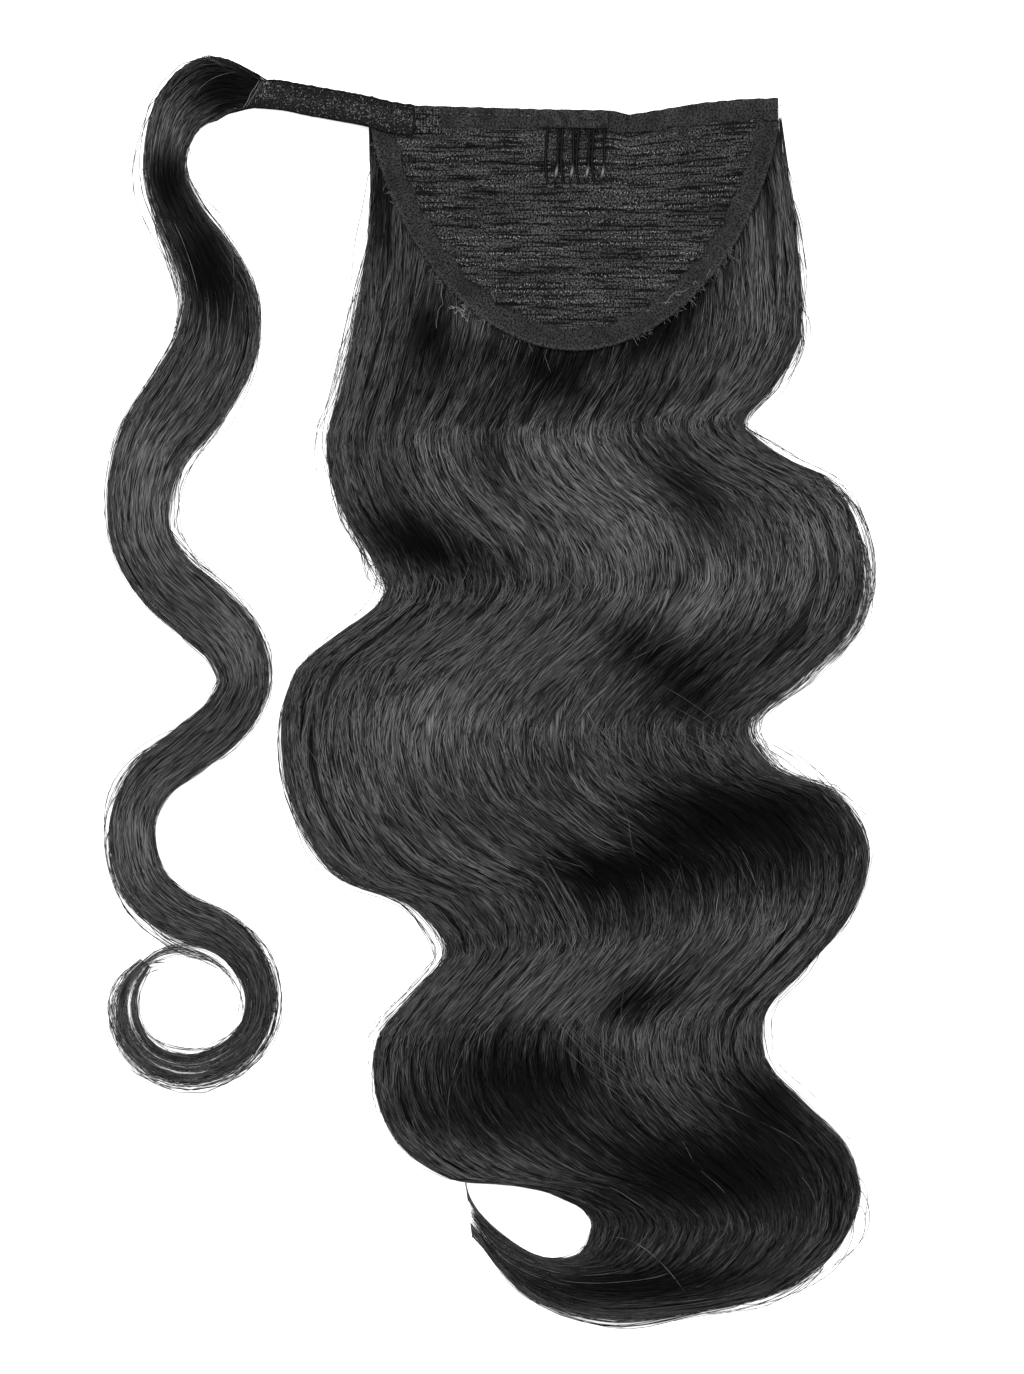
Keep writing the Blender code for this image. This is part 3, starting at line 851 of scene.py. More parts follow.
strandLook = {
    "lockSpread": 0.6,          # how far strands lie from the middle of their lock, in half widths
    "lockReach": 1.4,
    "pastEdge": 0.006,
    "borderWidth": 0.03,
    "endCurve": 1.5,
    "endThinning": 0.35,
    "looseEdge": 0.02,
    "driftWave": 70.0,
    "riseWave": 45.0,
    "layerPower": 1.6,
    "layerLift": 0.8,
    "layerShade": 0.5,
    "lowest": 0.4,
    "baseGap": 0.35,
    "taper": 5,
    "tip": 0.3,
    "tone": 0.42,
    "lockTones": 0.12,
    "strandTones": 0.24,
    "dull": 0.24,
    "dullWaves": 0.22,
    "dullMost": 0.9,
    "darkest": 0.98,
}


def baseCover(share):
    # how far down the fall the base covers it, at a share across
    reach = np.clip(np.abs(2 * share - 1), 0, 1)
    return base["depth"] * (1 - reach**2) ** (1 / base["curvePower"])


def makeBody(name, flow, replaced):
    # the form under the strands, painted dark matt as shade, with a groove between each two locks
    look = flow.look
    rng = np.random.default_rng(look["seed"])
    columns, rows = look["bodyColumns"], look["bodyRows"]
    along = flow.stations(0, flow.length * look["bodyEnd"], rows + 1).T.repeat(columns + 1, axis=1)
    width = flow.width(along)
    inset = np.minimum(look["bodyInset"] / np.maximum(width[:, :1], 1.0), bodyLook["insetMost"])
    share = inset + (1 - 2 * inset) * np.linspace(0, 1, columns + 1)[None]
    top = flow.surface(share, along)
    cuts = lockEdges(rng, look["locks"])
    shifted = np.clip(share + look["lockDrift"] * waver(rng, look["lockWave"], along), 0, 1)
    index = np.clip(np.searchsorted(cuts, shifted, side="right") - 1, 0, look["locks"] - 1)
    inside = (shifted - cuts[index]) / (cuts[index + 1] - cuts[index])
    groove = 1 - np.sqrt(np.clip(1 - (2 * inside - 1) ** 2, 0, 1))
    sunk = top[..., 2] - look["bodySink"] - groove * look["grooveDepth"]
    top[..., 2] = np.maximum(sunk, bodyLook["lowest"] * np.minimum(top[..., 2], bodyLook["lowEdge"]))
    points, faces, rim = slab(top, stacked(top[..., 0], top[..., 1], bodyLook["underside"]))
    shade, lift = flow.shading(top)
    # painted shade: darker in the grooves, mostly dark matt throughout and darker in the dark ovals; the
    # third number is painted highlight
    light = bodyLook["tone"] - bodyLook["paintedGrooveShade"] * groove
    tones = stacked(light, 1 - (1 - shade) * bodyLook["light"], lift * bodyLook["lift"])
    place = stacked(share * width * mm, along * mm, 0)
    return newPiece(name, points, faces, bodyHair, tones, place, replaced, "hair", rim)


def makeStrands(name, flow, starts, replaced, parts=1):
    # strands in locks that wander side by side, at several depths
    look = flow.look
    rng = np.random.default_rng(look["seed"] + 1)
    count, segments = look["strands"], look["segments"]
    everyStrand = np.arange(count)
    cuts = lockEdges(rng, look["locks"])
    middle, half = (cuts[:-1] + cuts[1:]) / 2, (cuts[1:] - cuts[:-1]) / 2
    lock = rng.choice(look["locks"], count, p=half / half.sum())
    most, past = strandLook["lockReach"], strandLook["pastEdge"]
    within = np.clip(rng.normal(0, strandLook["lockSpread"], count), -most, most)[:, None]
    share = (middle[lock][:, None] + within * half[lock][:, None]).clip(-past, 1 + past)
    border = rng.uniform(0, 1, (count, 1)) < look["borderStrands"]
    side = rng.uniform(-past, strandLook["borderWidth"], (count, 1))
    share = np.where(border, np.where(rng.uniform(0, 1, (count, 1)) < 0.5, side, 1 - side), share)
    start = starts(rng, share)
    end = flow.length - rng.uniform(0, 1, (count, 1)) ** look["endPower"] * look["endSpread"]
    thinning = rng.uniform(0, 1, (count, 1)) ** strandLook["endThinning"]
    end = end - look["endSlope"] * (1 - share).clip(0, 1) ** strandLook["endCurve"] * thinning
    along = flow.stations(start, end, segments + 1)
    room = np.maximum(np.minimum(share, 1 - share), 0) + past
    drift = look["lockDrift"] * Wander(rng, look["locks"], look["lockWave"]).at(lock, along)
    loose = look["strandDrift"] * (1 + 2 * np.exp(-room / strandLook["looseEdge"]))
    drift = drift + loose * Wander(rng, count, strandLook["driftWave"]).at(everyStrand, along)
    paths = flow.surface(share + room * np.tanh(drift / room), along)
    shade, lift = flow.shading(paths)
    layer = rng.uniform(0, 1, (count, 1)) ** strandLook["layerPower"]
    height = paths[..., 2] - layer * look["layerDepth"] - within**2 * look["lockRound"]
    height = height + look["lockRise"] * Wander(rng, look["locks"], look["lockWave"]).at(lock, along)
    rise = Wander(rng, count, strandLook["riseWave"]).at(everyStrand, along)
    height = height + look["strandRise"] * rise
    height = np.maximum(height, strandLook["lowest"] + strandLook["layerLift"] * layer)
    paths[..., 2] = np.minimum(height, underBase(paths[..., 1]) - strandLook["baseGap"])
    taper = np.clip(np.linspace(1, 0, segments + 1) * strandLook["taper"], strandLook["tip"], 1)[None]
    radii = rng.uniform(*look["radius"], (count, 1)) * taper
    tone = rng.normal(strandLook["tone"], strandLook["lockTones"], look["locks"])[lock][:, None]
    tone = tone + rng.normal(0, strandLook["strandTones"], (count, 1))
    dull = rng.normal(strandLook["dull"], strandLook["strandTones"], (count, 1))
    dullWave = Wander(rng, count, strandLook["riseWave"], 2).at(everyStrand, along)
    dull = np.clip(dull + strandLook["dullWaves"] * dullWave, 0, strandLook["dullMost"])
    # painted shade from the dark ovals and on the lower layers, with each strand's random dullness
    dark = 1 - (1 - shade) * (1 - dull) * (1 - strandLook["layerShade"] * layer)
    tones = stacked(np.clip(tone, 0, 1), np.clip(dark, 0, strandLook["darkest"]), lift)
    for part in range(parts):
        chosen = slice(part, count, parts)
        label = name + str(part + 1) if parts > 1 else name
        links = {"replaced": replaced, "slot": "hair"}
        addFibres(label, paths[chosen], radii[chosen], strandHair, tones[chosen], **links)


wisps = {
    "seed": 5,
    "radius": (0.115, 0.17),
    "tip": 0.55,
    "segments": 16,
    "length": (25.0, 110.0),
    "lengthScatter": 8.0,
    "shortest": 12.0,
    "groupSize": 5,
    "groupScatter": 6.0,
    "reach": 2.3,
    "reachScatter": 0.7,
    "reachLeast": 1.4,
    "reachMost": 6.0,
    "freeEnds": 0.4,
    "freePower": 0.8,
    "sway": 0.25,
    "swayWave": 60.0,
    "inset": 0.5,
    "narrowest": 4.0,
    "heightShare": 0.7,
    "heights": (0.2, 1.6),
    "rise": 0.4,
    "riseWave": 40.0,
    "lowest": 0.3,
    "baseGap": 0.5,
    "tone": (0.35, 0.3, 0.0),
}

fallWisps = (
    # name, number of hairs, scale of their reach, where along the hair the first may start
    ("fallWisps", 560, 1.0, 0.02),
    ("tailWisps", 130, 0.9, 0.84),
)

wrapWisps = (
    # name, number of hairs, scale of their reach, where along the hair the first may start
    ("wrapWisps", 400, 0.8, 0.02),
    ("curlWisps", 90, 0.8, 0.78),
)


def makeWisps(flow, name, count, scale, first):
    # fine hairs in small groups that leave the edge of the hair and run beside it
    rng = np.random.default_rng(wisps["seed"] + count)
    everyHair = np.arange(count)
    group = rng.integers(0, count // wisps["groupSize"], count)
    t = np.linspace(0, 1, wisps["segments"] + 1)[None]

    def perGroup(values, scatter):
        return values[group][:, None] + rng.normal(0, scatter, (count, 1))

    length = perGroup(rng.uniform(*wisps["length"], count), wisps["lengthScatter"])
    begin = perGroup(rng.uniform(first, 1, count) * flow.length, wisps["groupScatter"])
    along = np.clip(begin + np.maximum(length, wisps["shortest"]) * t, 0, flow.length)
    reach = perGroup(rng.exponential(wisps["reach"], count), wisps["reachScatter"])
    reach = np.clip(np.abs(reach), wisps["reachLeast"], wisps["reachMost"]) * scale
    free = rng.uniform(0, 1, (count, 1)) < wisps["freeEnds"]
    bow = np.where(free, t ** wisps["freePower"], np.sqrt(np.maximum(np.sin(np.pi * t), 0)))
    sway = wisps["sway"] * Wander(rng, count, wisps["swayWave"], 2).at(everyHair, along)
    beyond = reach * bow * (1 + sway) - wisps["inset"] * scale
    beyond = beyond / np.maximum(flow.width(along), wisps["narrowest"])
    leftSide = rng.uniform(0, 1, count)[group][:, None] < 0.5
    share = np.where(leftSide, -beyond, 1 + beyond)
    paths = flow.at(share, along)
    low = flow.surface(np.clip(share, 0, 1), along)[..., 2]
    height = low * wisps["heightShare"] + rng.uniform(*wisps["heights"], (count, 1))
    height = height + wisps["rise"] * Wander(rng, count, wisps["riseWave"]).at(everyHair, along)
    height = np.maximum(height, wisps["lowest"])
    paths[..., 2] = np.minimum(height, underBase(paths[..., 1]) - wisps["baseGap"])
    radii = rng.uniform(*wisps["radius"], (count, 1)) * np.clip(1.3 - t, wisps["tip"], 1)
    return addFibres(name, paths, radii, strandHair, wisps["tone"], slot="hair")


strays = {
    "seed": 8,
    "radius": (0.05, 0.08),
    "tip": 0.4,
    "segments": 26,
    "length": (40.0, 160.0),
    "starts": (0.17, 0.95),
    "shares": (0.06, 0.94),
    "drift": 0.09,
    "driftWave": 150.0,
    "clearance": 0.4,
    "arch": 1.2,
    "baseGap": 0.35,
    # own tone, dullness, and a painted highlight
    "tone": (0.8, 0.1, 0.5),
}


def makeStrays(name, flow, count):
    # thin loose hairs that cross over the others
    rng = np.random.default_rng(strays["seed"] + count)
    t = np.linspace(0, 1, strays["segments"] + 1)[None]
    length = rng.uniform(*strays["length"], (count, 1))
    begin = rng.uniform(*strays["starts"], (count, 1)) * flow.length
    along = np.clip(begin + length * t, 0, flow.length)
    share = rng.uniform(*strays["shares"], (count, 1))
    drift = Wander(rng, count, strays["driftWave"], 1).at(np.arange(count), along)
    share = share + strays["drift"] * drift
    paths = flow.surface(share.clip(0.01, 0.99), along)
    paths[..., 2] += strays["clearance"] + rng.uniform(0, strays["arch"], (count, 1)) * np.sin(np.pi * t)
    paths[..., 2] = np.minimum(paths[..., 2], underBase(paths[..., 1]) - strays["baseGap"])
    radii = rng.uniform(*strays["radius"], (count, 1)) * np.clip(1.3 - t, strays["tip"], 1)
    return addFibres(name, paths, radii, strandHair, strays["tone"], slot="hair")


fallLoose = (
    # start, middle and end of the way, number of hairs, spread, lightness
    (-55.5, -160.0, -56.5, -166.5, -60.5, -171.5, 13, 4.0, 0.9),
    (-46.0, -162.0, -47.0, -168.0, -50.5, -173.0, 13, 4.0, 0.9),
    (-35.5, -163.5, -35.5, -169.0, -38.5, -174.0, 11, 3.5, 0.8),
    (3.5, -213.5, 12.5, -225.5, 26.0, -232.5, 18, 3.0, 0.7),
    (-5.0, -235.5, 5.0, -247.5, 16.5, -251.0, 18, 3.0, 0.7),
    (-12.0, -256.0, -4.0, -268.0, 2.0, -281.0, 14, 3.0, 0.6),
    (30.0, -206.0, 46.0, -214.0, 62.0, -228.0, 8, 3.5, 0.5),
    (62.0, -216.0, 82.0, -224.0, 94.0, -242.0, 10, 3.0, 0.5),
    (11.5, -384.0, 24.0, -382.0, 39.0, -405.0, 1, 0.1, 1.0),
    (-10.2, -84.5, -9.5, -87.5, -8.0, -91.0, 1, 0.1, 1.0),
    (-66.0, -118.0, -50.0, -134.0, -42.0, -152.0, 4, 3.0, 0.6),
    (-4.0, -198.0, 8.0, -212.0, 12.0, -236.0, 4, 4.0, 0.7),
    (50.0, -255.0, 62.0, -272.0, 60.0, -290.0, 4, 4.0, 0.6),
    (-6.0, -308.0, 4.0, -322.0, 22.0, -334.0, 12, 3.0, 0.6),
    (20.0, -318.0, 26.0, -336.0, 44.0, -346.0, 12, 3.0, 0.7),
)

wrapLoose = (
    # start, middle and end of the way, number of hairs, spread, lightness
    (-115.5, 12.0, -128.5, 10.5, -131.0, -1.5, 1, 0.1, 0.9),
    (-140.5, -32.0, -131.0, -46.0, -127.5, -66.0, 1, 0.2, 0.7),
    (-117.0, -46.0, -113.5, -64.0, -120.0, -84.0, 1, 0.2, 0.7),
    (-128.0, 17.6, -123.0, 17.0, -118.0, 13.0, 3, 0.5, 0.2),
    (-124.0, -64.0, -122.0, -74.0, -124.5, -88.0, 5, 2.5, 0.7),
    (-153.5, -305.0, -149.5, -286.0, -131.0, -285.0, 16, 0.8, 0.2),
    (-148.0, -292.0, -133.0, -281.0, -118.0, -294.0, 12, 0.8, 0.2),
    (-152.0, -300.0, -146.0, -290.0, -138.0, -292.5, 10, 1.2, 0.2),
)


looseHairs = {
    "seed": 72,
    "radius": (0.06, 0.12),
    "taper": 5,
    "tip": 0.35,
    "points": 15,
    "clearance": 0.3,
    "arch": 0.6,
    "tipShare": 0.8,
    "tipScatter": 0.25,
    "lights": (0.6, 1.0),
    # the share of each hair's lightness given as painted highlight
    "lift": 0.5,
}


def makeLooseHairs(name, flow, table):
    # single hairs and tips that lie across the dark hollows, drawn on the hair's surface
    rng = np.random.default_rng(looseHairs["seed"])
    share, along = np.meshgrid(np.linspace(0.02, 0.98, 70), np.linspace(0, flow.length, 260))
    ground = flow.surface(share, along).reshape(-1, 3)
    t = np.linspace(0, 1, looseHairs["points"])[:, None]
    arch = looseHairs["clearance"] + looseHairs["arch"] * np.sin(np.pi * t)
    paths, lights = [], []
    for row in table:
        start, bend, end = np.array(row[:6]).reshape(3, 2)
        number, spread, light = row[6:]
        for _ in range(number):
            shift = rng.normal(0, spread, 2)
            tip = end + shift * looseHairs["tipShare"]
            tip = tip + rng.normal(0, looseHairs["tipScatter"] * spread, 2)
            way = (start + shift) * (1 - t) ** 2 + (bend + shift) * 2 * t * (1 - t) + tip * t**2
            nearest = np.argmin(((ground[None, :, :2] - way[:, None]) ** 2).sum(axis=2), axis=1)
            rise = np.pad(ground[nearest, 2], 2, mode="edge")
            rise = np.convolve(rise, np.ones(5) / 5, mode="valid")[:, None]
            paths.append(np.concatenate([way, rise + arch], axis=1))
            lights.append(light * rng.uniform(*looseHairs["lights"]))
    lights = np.array(lights)[:, None] + 0 * t.T
    taper = np.clip(np.minimum(t, 1 - t).T * looseHairs["taper"], looseHairs["tip"], 1)
    radii = rng.uniform(*looseHairs["radius"], (len(paths), 1)) * taper
    # the third number is a painted highlight that follows each hair's lightness
    tones = stacked(lights, 0, looseHairs["lift"] * lights)
    return addFibres(name, np.array(paths), radii, strandHair, tones, slot="hair")


# the base

base = {
    "halfWidth": 70.0,
    "depth": 84.0,
    "curvePower": 1.6,
    "edgeShiftDepth": 40.0,
    "gap": 0.3,
    "panelTop": 1.8,
    "panelInset": 1.3,
    "hemBottom": 2.1,
    "hemTop": 2.8,
    "edgeHemStart": 7.6,
    "topHemHalfLength": 69.0,
}

topEdge = (
    # x, and how far the top edge lies above a straight line
    (-70.0, 0.8),
    (-52.0, 0.0),
    (-12.0, -1.2),
    (12.0, -1.6),
    (18.5, -3.1),
    (29.0, -1.4),
    (42.5, 0.9),
    (56.0, 2.2),
    (70.0, 2.7),
)


def onBase(points):
    # base millimetres (x, y, height over the underside) to plan ones, with the uneven top edge
    points = np.array(points, dtype=float)
    places, shifts = zip(*topEdge)
    fade = np.maximum(0.0, 1 + points[..., 1] / base["edgeShiftDepth"])
    points[..., 1] += np.interp(points[..., 0], places, shifts) * fade
    return fromBase(points)


def halfWidthAt(depth, inset=0.0):
    share = np.minimum(depth / (base["depth"] - inset), 1.0)
    return (base["halfWidth"] - inset) * np.sqrt(1 - share ** base["curvePower"])


panel = {
    "courses": 14,
    "ribSway": 0.35,
    "minorShare": 0.2,
    "minorDepth": 0.3,
    "relief": 0.12,
    "tone": 0.3,
    "patchTone": 0.07,
    "fineTone": 0.05,
    "seed": 31,
    "columns": 190,
    "rows": 160,
    "endRows": 14,
    "ribStart": 2.72,
    "ribPitch": 5.45,
    "ribShare": 0.13,
    "grooveDepth": 0.7,
    "ribRise": 0.2,
    "stitchStep": 0.95,
    "stitchRows": ((0.2, 0.9), (0.5, 0.55), (0.8, 0.8)),
    "stitchRadius": 0.14,
}


def ribPattern(rng, x, depth):
    # grooves between the courses of the knit, which waver and fade in and out along x
    sway = panel["ribSway"] * mottle(rng, x, depth * 3, 26.0)
    place = (depth - panel["ribStart"] + sway) / panel["ribPitch"]
    nearest = np.round(place)
    off = (place - nearest) / panel["ribShare"]
    strength = np.clip(0.62 + 0.55 * mottle(rng, x, nearest * 37.0, 36.0), 0, 1)
    half = place * 2 + 0.9 * mottle(rng, x, depth * 4, 30.0)
    between = np.round(half)
    minor = np.exp(-((half - between) / panel["minorShare"]) ** 2)
    minor = minor * np.clip(mottle(rng, x, between * 41.0, 18.0), 0, 1)
    return np.exp(-off**2) * strength, minor


def makePanel():
    rng = np.random.default_rng(panel["seed"])
    inset = base["panelInset"]
    depth = np.linspace(inset, base["depth"] - inset - 0.5, panel["rows"] + 1)[:, None]
    x = halfWidthAt(depth, inset) * np.linspace(-1, 1, panel["columns"] + 1)
    depth = np.broadcast_to(depth, x.shape)
    groove, minor = ribPattern(rng, x, depth)
    patches = mottle(rng, x, depth, 24.0)
    fine = mottle(rng, x, depth, 5.0)
    height = base["panelTop"] - panel["grooveDepth"] * groove - panel["minorDepth"] * minor
    height = height + panel["relief"] * fine + panel["ribRise"] * (1 - groove)
    top = stacked(x, -depth, np.minimum(height, base["hemBottom"] - 0.05))
    under = stacked(x, -depth, base["gap"])
    points, faces, rim = slab(onBase(top), onBase(under), panel["endRows"])
    tone = np.clip(panel["tone"] + panel["patchTone"] * patches + panel["fineTone"] * fine, 0.1, 1)
    # painted shade in the knit's grooves and minor grooves
    shade = np.clip(0.75 * groove + 0.5 * minor, 0, 0.95)
    tones, place = stacked(tone, shade, 0), stacked(x * mm, depth * mm, 0)
    return newPiece(
        "knitPanel", points, faces, knitCloth, tones, place,
        replaced=["base_panel"], slot="knit", rim=rim, outward=True,
    )


def makePanelStitches():
    # rows of small loops of yarn along the courses, lighter in colour as painted highlights
    rng = np.random.default_rng(panel["seed"] + 1)
    spots = []
    for course in range(1, panel["courses"] + 1):
        for share, strength in panel["stitchRows"]:
            depth = panel["ribStart"] + panel["ribPitch"] * (course + share)
            reach = halfWidthAt(min(depth + 1.5, base["depth"]), 8.0)
            x = np.arange(-reach, reach, panel["stitchStep"])
            level = mottle(np.random.default_rng(course), x, 0 * x + share * 90, 34.0)
            level = strength * np.clip(0.35 + 0.55 * level, 0, 1)
            kept = rng.uniform(0, 1, len(x)) < level * 1.7
            spots += [(spot, -depth, bright) for spot, bright in zip(x[kept], level[kept])]
    x, y, level = np.array(spots).T[:, :, None]
    x = x + rng.normal(0, 0.2, x.shape)
    y = y + rng.normal(0, 0.22, x.shape)
    t = np.linspace(0, 1, 3)[None]
    turn = rng.normal(math.pi / 2, 0.7, x.shape)
    length = rng.uniform(0.5, 1.1, x.shape)
    height = base["panelTop"] + 0.3 * np.sin(np.pi * t)
    along = length * (t - 0.5)
    grid = stacked(x + along * np.cos(turn), y + along * np.sin(turn), height)
    tones = stacked(np.clip(rng.uniform(0.2, 0.75, x.shape) * (0.5 + level), 0, 1), 0, 0)
    return addFibres("knitStitches", onBase(grid), panel["stitchRadius"], yarn, tones, slot="knit")


hems = {
    "seed": 41,
    "stations": 420,
    "lump": 0.12,
    "lumpWave": 9.0,
    # rows of stitches along the top hem: left, right, depth, step and lightness
    "stitchRows": (
        # left, right, depth, step, lightness
        (-49.0, -14.0, 2.6, 2.2, 0.4),
        (22.0, 67.0, 2.5, 1.9, 0.12),
        (22.0, 67.0, 4.9, 1.9, 0.12),
    ),
}

edgeProfile = (
    # reach inward from the outline, height over the underside, lightness
    (0.0, 0.3, 0.2),
    (-0.1, 1.2, 0.25),
    (-0.05, 2.1, 0.5),
    (0.2, 2.7, 0.8),
    (0.7, 2.9, 0.65),
    (1.3, 2.75, 0.4),
    (2.4, 2.85, 0.34),
    (4.0, 2.85, 0.36),
    (5.4, 2.75, 0.4),
    (6.6, 2.45, 0.42),
    (7.3, 2.22, 0.4),
    (7.6, 2.1, 0.36),
    (0.8, 2.1, 0.1),
    (0.8, 0.3, 0.1),
)


def baseOutline(stations):
    # points and inward directions along the curved edge, left corner to right
    turn = np.linspace(0, np.pi, stations + 1)
    depth = base["edgeHemStart"] + (base["depth"] - base["edgeHemStart"]) * np.sin(turn)
    half = halfWidthAt(depth) * np.where(np.arange(stations + 1) * 2 < stations, -1, 1)
    half[stations // 2] = 0.0
    outline = np.stack([half, -depth], axis=1)
    along = np.gradient(outline, axis=0)
    along /= np.linalg.norm(along, axis=1, keepdims=True)
    inward = np.stack([-along[:, 1], along[:, 0]], axis=1)
    inward[0] = (1.0, 0.0)
    inward[-1] = (-1.0, 0.0)
    return outline, inward


def makeEdgeHem():
    rng = np.random.default_rng(hems["seed"])
    outline, inward = baseOutline(hems["stations"])
    reach, height, light = np.array(edgeProfile).T
    run = np.concatenate(([0], np.cumsum(np.linalg.norm(np.diff(outline, axis=0), axis=1))))[:, None]
    settle = np.clip(np.minimum(run, run[-1] - run) / 6.0, 0, 1)
    lump = hems["lump"] * waver(rng, hems["lumpWave"], run) * settle
    wide = waver(rng, 17.0, run) * settle
    reached = reach + (reach < 2) * lump + (reach > 5) * wide
    x, y = np.moveaxis(outline[:, None] + inward[:, None] * reached[..., None], -1, 0)
    rise = height + 0.12 * mottle(rng, x, y, 7.0) * (height > 2.5)
    points, faces = swept(onBase(stacked(x, y, rise)))
    fine = 0.08 * mottle(rng, x, y, 3.0)
    tone = np.clip(light * (1 + 0.25 * mottle(rng, x, y, 14.0)) + fine, 0, 1)
    tones, place = stacked(tone, 0, 0), stacked(run * mm, reach * mm, 0)
    links = {"replaced": ["edge_hem"], "slot": "hem", "outward": True}
    return newPiece("edgeBinding", points, faces, hemCloth, tones, place, **links)


topProfile = (
    # y, height over the underside, lightness
    (0.0, 0.3, 0.2),
    (-0.8, 0.3, 0.1),
    (-0.8, 2.1, 0.1),
    (-7.1, 2.1, 0.36),
    (-6.9, 2.2, 0.4),
    (-6.2, 2.4, 0.42),
    (-4.9, 2.75, 0.42),
    (-3.2, 2.8, 0.38),
    (-1.6, 2.85, 0.42),
    (-0.6, 2.85, 0.55),
    (0.05, 2.5, 0.6),
    (0.1, 1.4, 0.3),
)


def makeTopHem():
    rng = np.random.default_rng(hems["seed"] + 1)
    x = np.linspace(-base["topHemHalfLength"], base["topHemHalfLength"], 300)[:, None]
    y, height, light = np.array(topProfile).T
    y = y + 0.14 * waver(rng, 7.0, x) * (np.abs(y + 0.2) < 1) + 0.7 * waver(rng, 14.0, x) * (y < -6)
    # two creases, each a dent in the hem with painted shade along it
    crease = 0.6 * np.exp(-((x - 17.7) / 0.5) ** 2) + 0.6 * np.exp(-((x - 10.9) / 0.4) ** 2)
    x = np.broadcast_to(x, y.shape)
    rise = height + (0.12 * mottle(rng, x, y, 6.0) - 0.3 * crease) * (height > 2.5)
    points, faces = swept(onBase(stacked(x, y, rise)))
    tone = np.clip(light * (1 + 0.3 * mottle(rng, x, y, 9.0)), 0, 1)
    tones, place = stacked(tone, np.clip(crease, 0, 0.95), 0), stacked(x * mm, y * mm, 0)
    links = {"replaced": ["top_hem"], "slot": "hem", "outward": True}
    return newPiece("topBinding", points, faces, hemCloth, tones, place, **links)


comb = {
    "wire": 0.9,
    "teeth": 4,
    "pitch": 5.25,
    "left": -7.45,
    "slant": 0.035,
    "rootY": -3.2,
    "tapeTopY": -0.6,
    "tapeDepth": 6.4,
    "tapeHalfLength": 11.7,
    "tapeCentre": -0.5,
}

toothRows = (
    # y, half the gap between the legs, height over the hem
    (-8.0, 1.85, 0.0),
    (-14.0, 2.0, 0.0),
    (-19.5, 2.05, -0.1),
    (-23.5, 1.55, -0.4),
    (-26.5, 0.95, -0.7),
    (-27.6, 0.5, -0.8),
)


def makeComb():
    # one wire, bent into narrow teeth,
    # with painted glints low on one leg and at the tip of each tooth
    height = base["hemTop"] + base["gap"] + comb["wire"] / 2
    rows = [(comb["rootY"], toothRows[0][1], 0.0), *toothRows]
    path = []
    for tooth in range(comb["teeth"]):
        centre = comb["left"] + comb["pitch"] * tooth
        for side, leg in ((-1, rows), (1, rows[::-1])):
            for y, halfGap, lift in leg:
                x = centre + side * halfGap + comb["slant"] * (y - comb["rootY"])
                path.append((x, y, height + lift, side))
    path = np.array(path)
    smooth = smoothAt(path, np.linspace(0, len(path) - 1, len(path) * 6))
    y, side = smooth[:, 1], smooth[:, 3]
    # painted glints: lighter colour low on each tooth's right leg and at its tip
    paintedGlint = np.exp(-((y + 22.3) / 1.4) ** 2) * (side > 0.5) + 0.35 * np.exp(-((y + 27.4) / 0.5) ** 2)
    wire, links = onBase(smooth[:, :3])[None], {"replaced": ["comb"], "slot": "wire"}
    return addFibres("combWire", wire, comb["wire"] / 2, lacquer, stacked(paintedGlint, 0, 0)[None], 10, **links)


def makeCombTape():
    rng = np.random.default_rng(hems["seed"] + 2)
    x = np.linspace(-1, 1, 90)[:, None] * comb["tapeHalfLength"] + comb["tapeCentre"]
    floor = base["hemTop"] + base["gap"]
    roof = floor + comb["wire"] + 2 * base["gap"] + 0.7
    back, front = comb["tapeTopY"], comb["tapeTopY"] - comb["tapeDepth"]
    profile = (
        # y, height over the underside, lightness
        (back, floor, 0.3),
        (back + 0.1, floor + 1.2, 0.5),
        (back - 0.2, roof - 0.2, 0.8),
        (back - 0.9, roof + 0.05, 0.6),
        (back - 2.2, roof, 0.45),
        (back - 3.4, roof - 0.1, 0.4),
        (back - 4.6, roof, 0.45),
        (front + 0.8, roof + 0.05, 0.5),
        (front + 0.1, roof - 0.2, 0.5),
        (front, roof - 0.6, 0.2),
        (back - 1.4, roof - 0.7, 0.1),
        (back - 1.4, floor, 0.1),
    )
    y, height, light = np.array(profile).T
    y = y + 0.25 * waver(rng, 6.0, x) * (y > -1)
    x = np.broadcast_to(x, y.shape)
    rise = height + 0.22 * mottle(rng, x, y, 4.0) * (height > roof - 0.3)
    points, faces = swept(onBase(stacked(x, y, rise)))
    tone = np.clip(light * (1 + 0.45 * mottle(rng, x, y, 3.5)), 0, 1)
    tones, place = stacked(tone, 0, 0), stacked(x * mm, y * mm, 0)
    links = {"replaced": ["comb_tape"], "slot": "hem", "outward": True}
    return newPiece("combTape", points, faces, hemCloth, tones, place, **links)


patch = {
    "centre": (-50.0, -5.4),
    "length": 8.6,
    "width": 8.4,
    "thickness": 0.8,
    "ribPitch": 1.05,
}


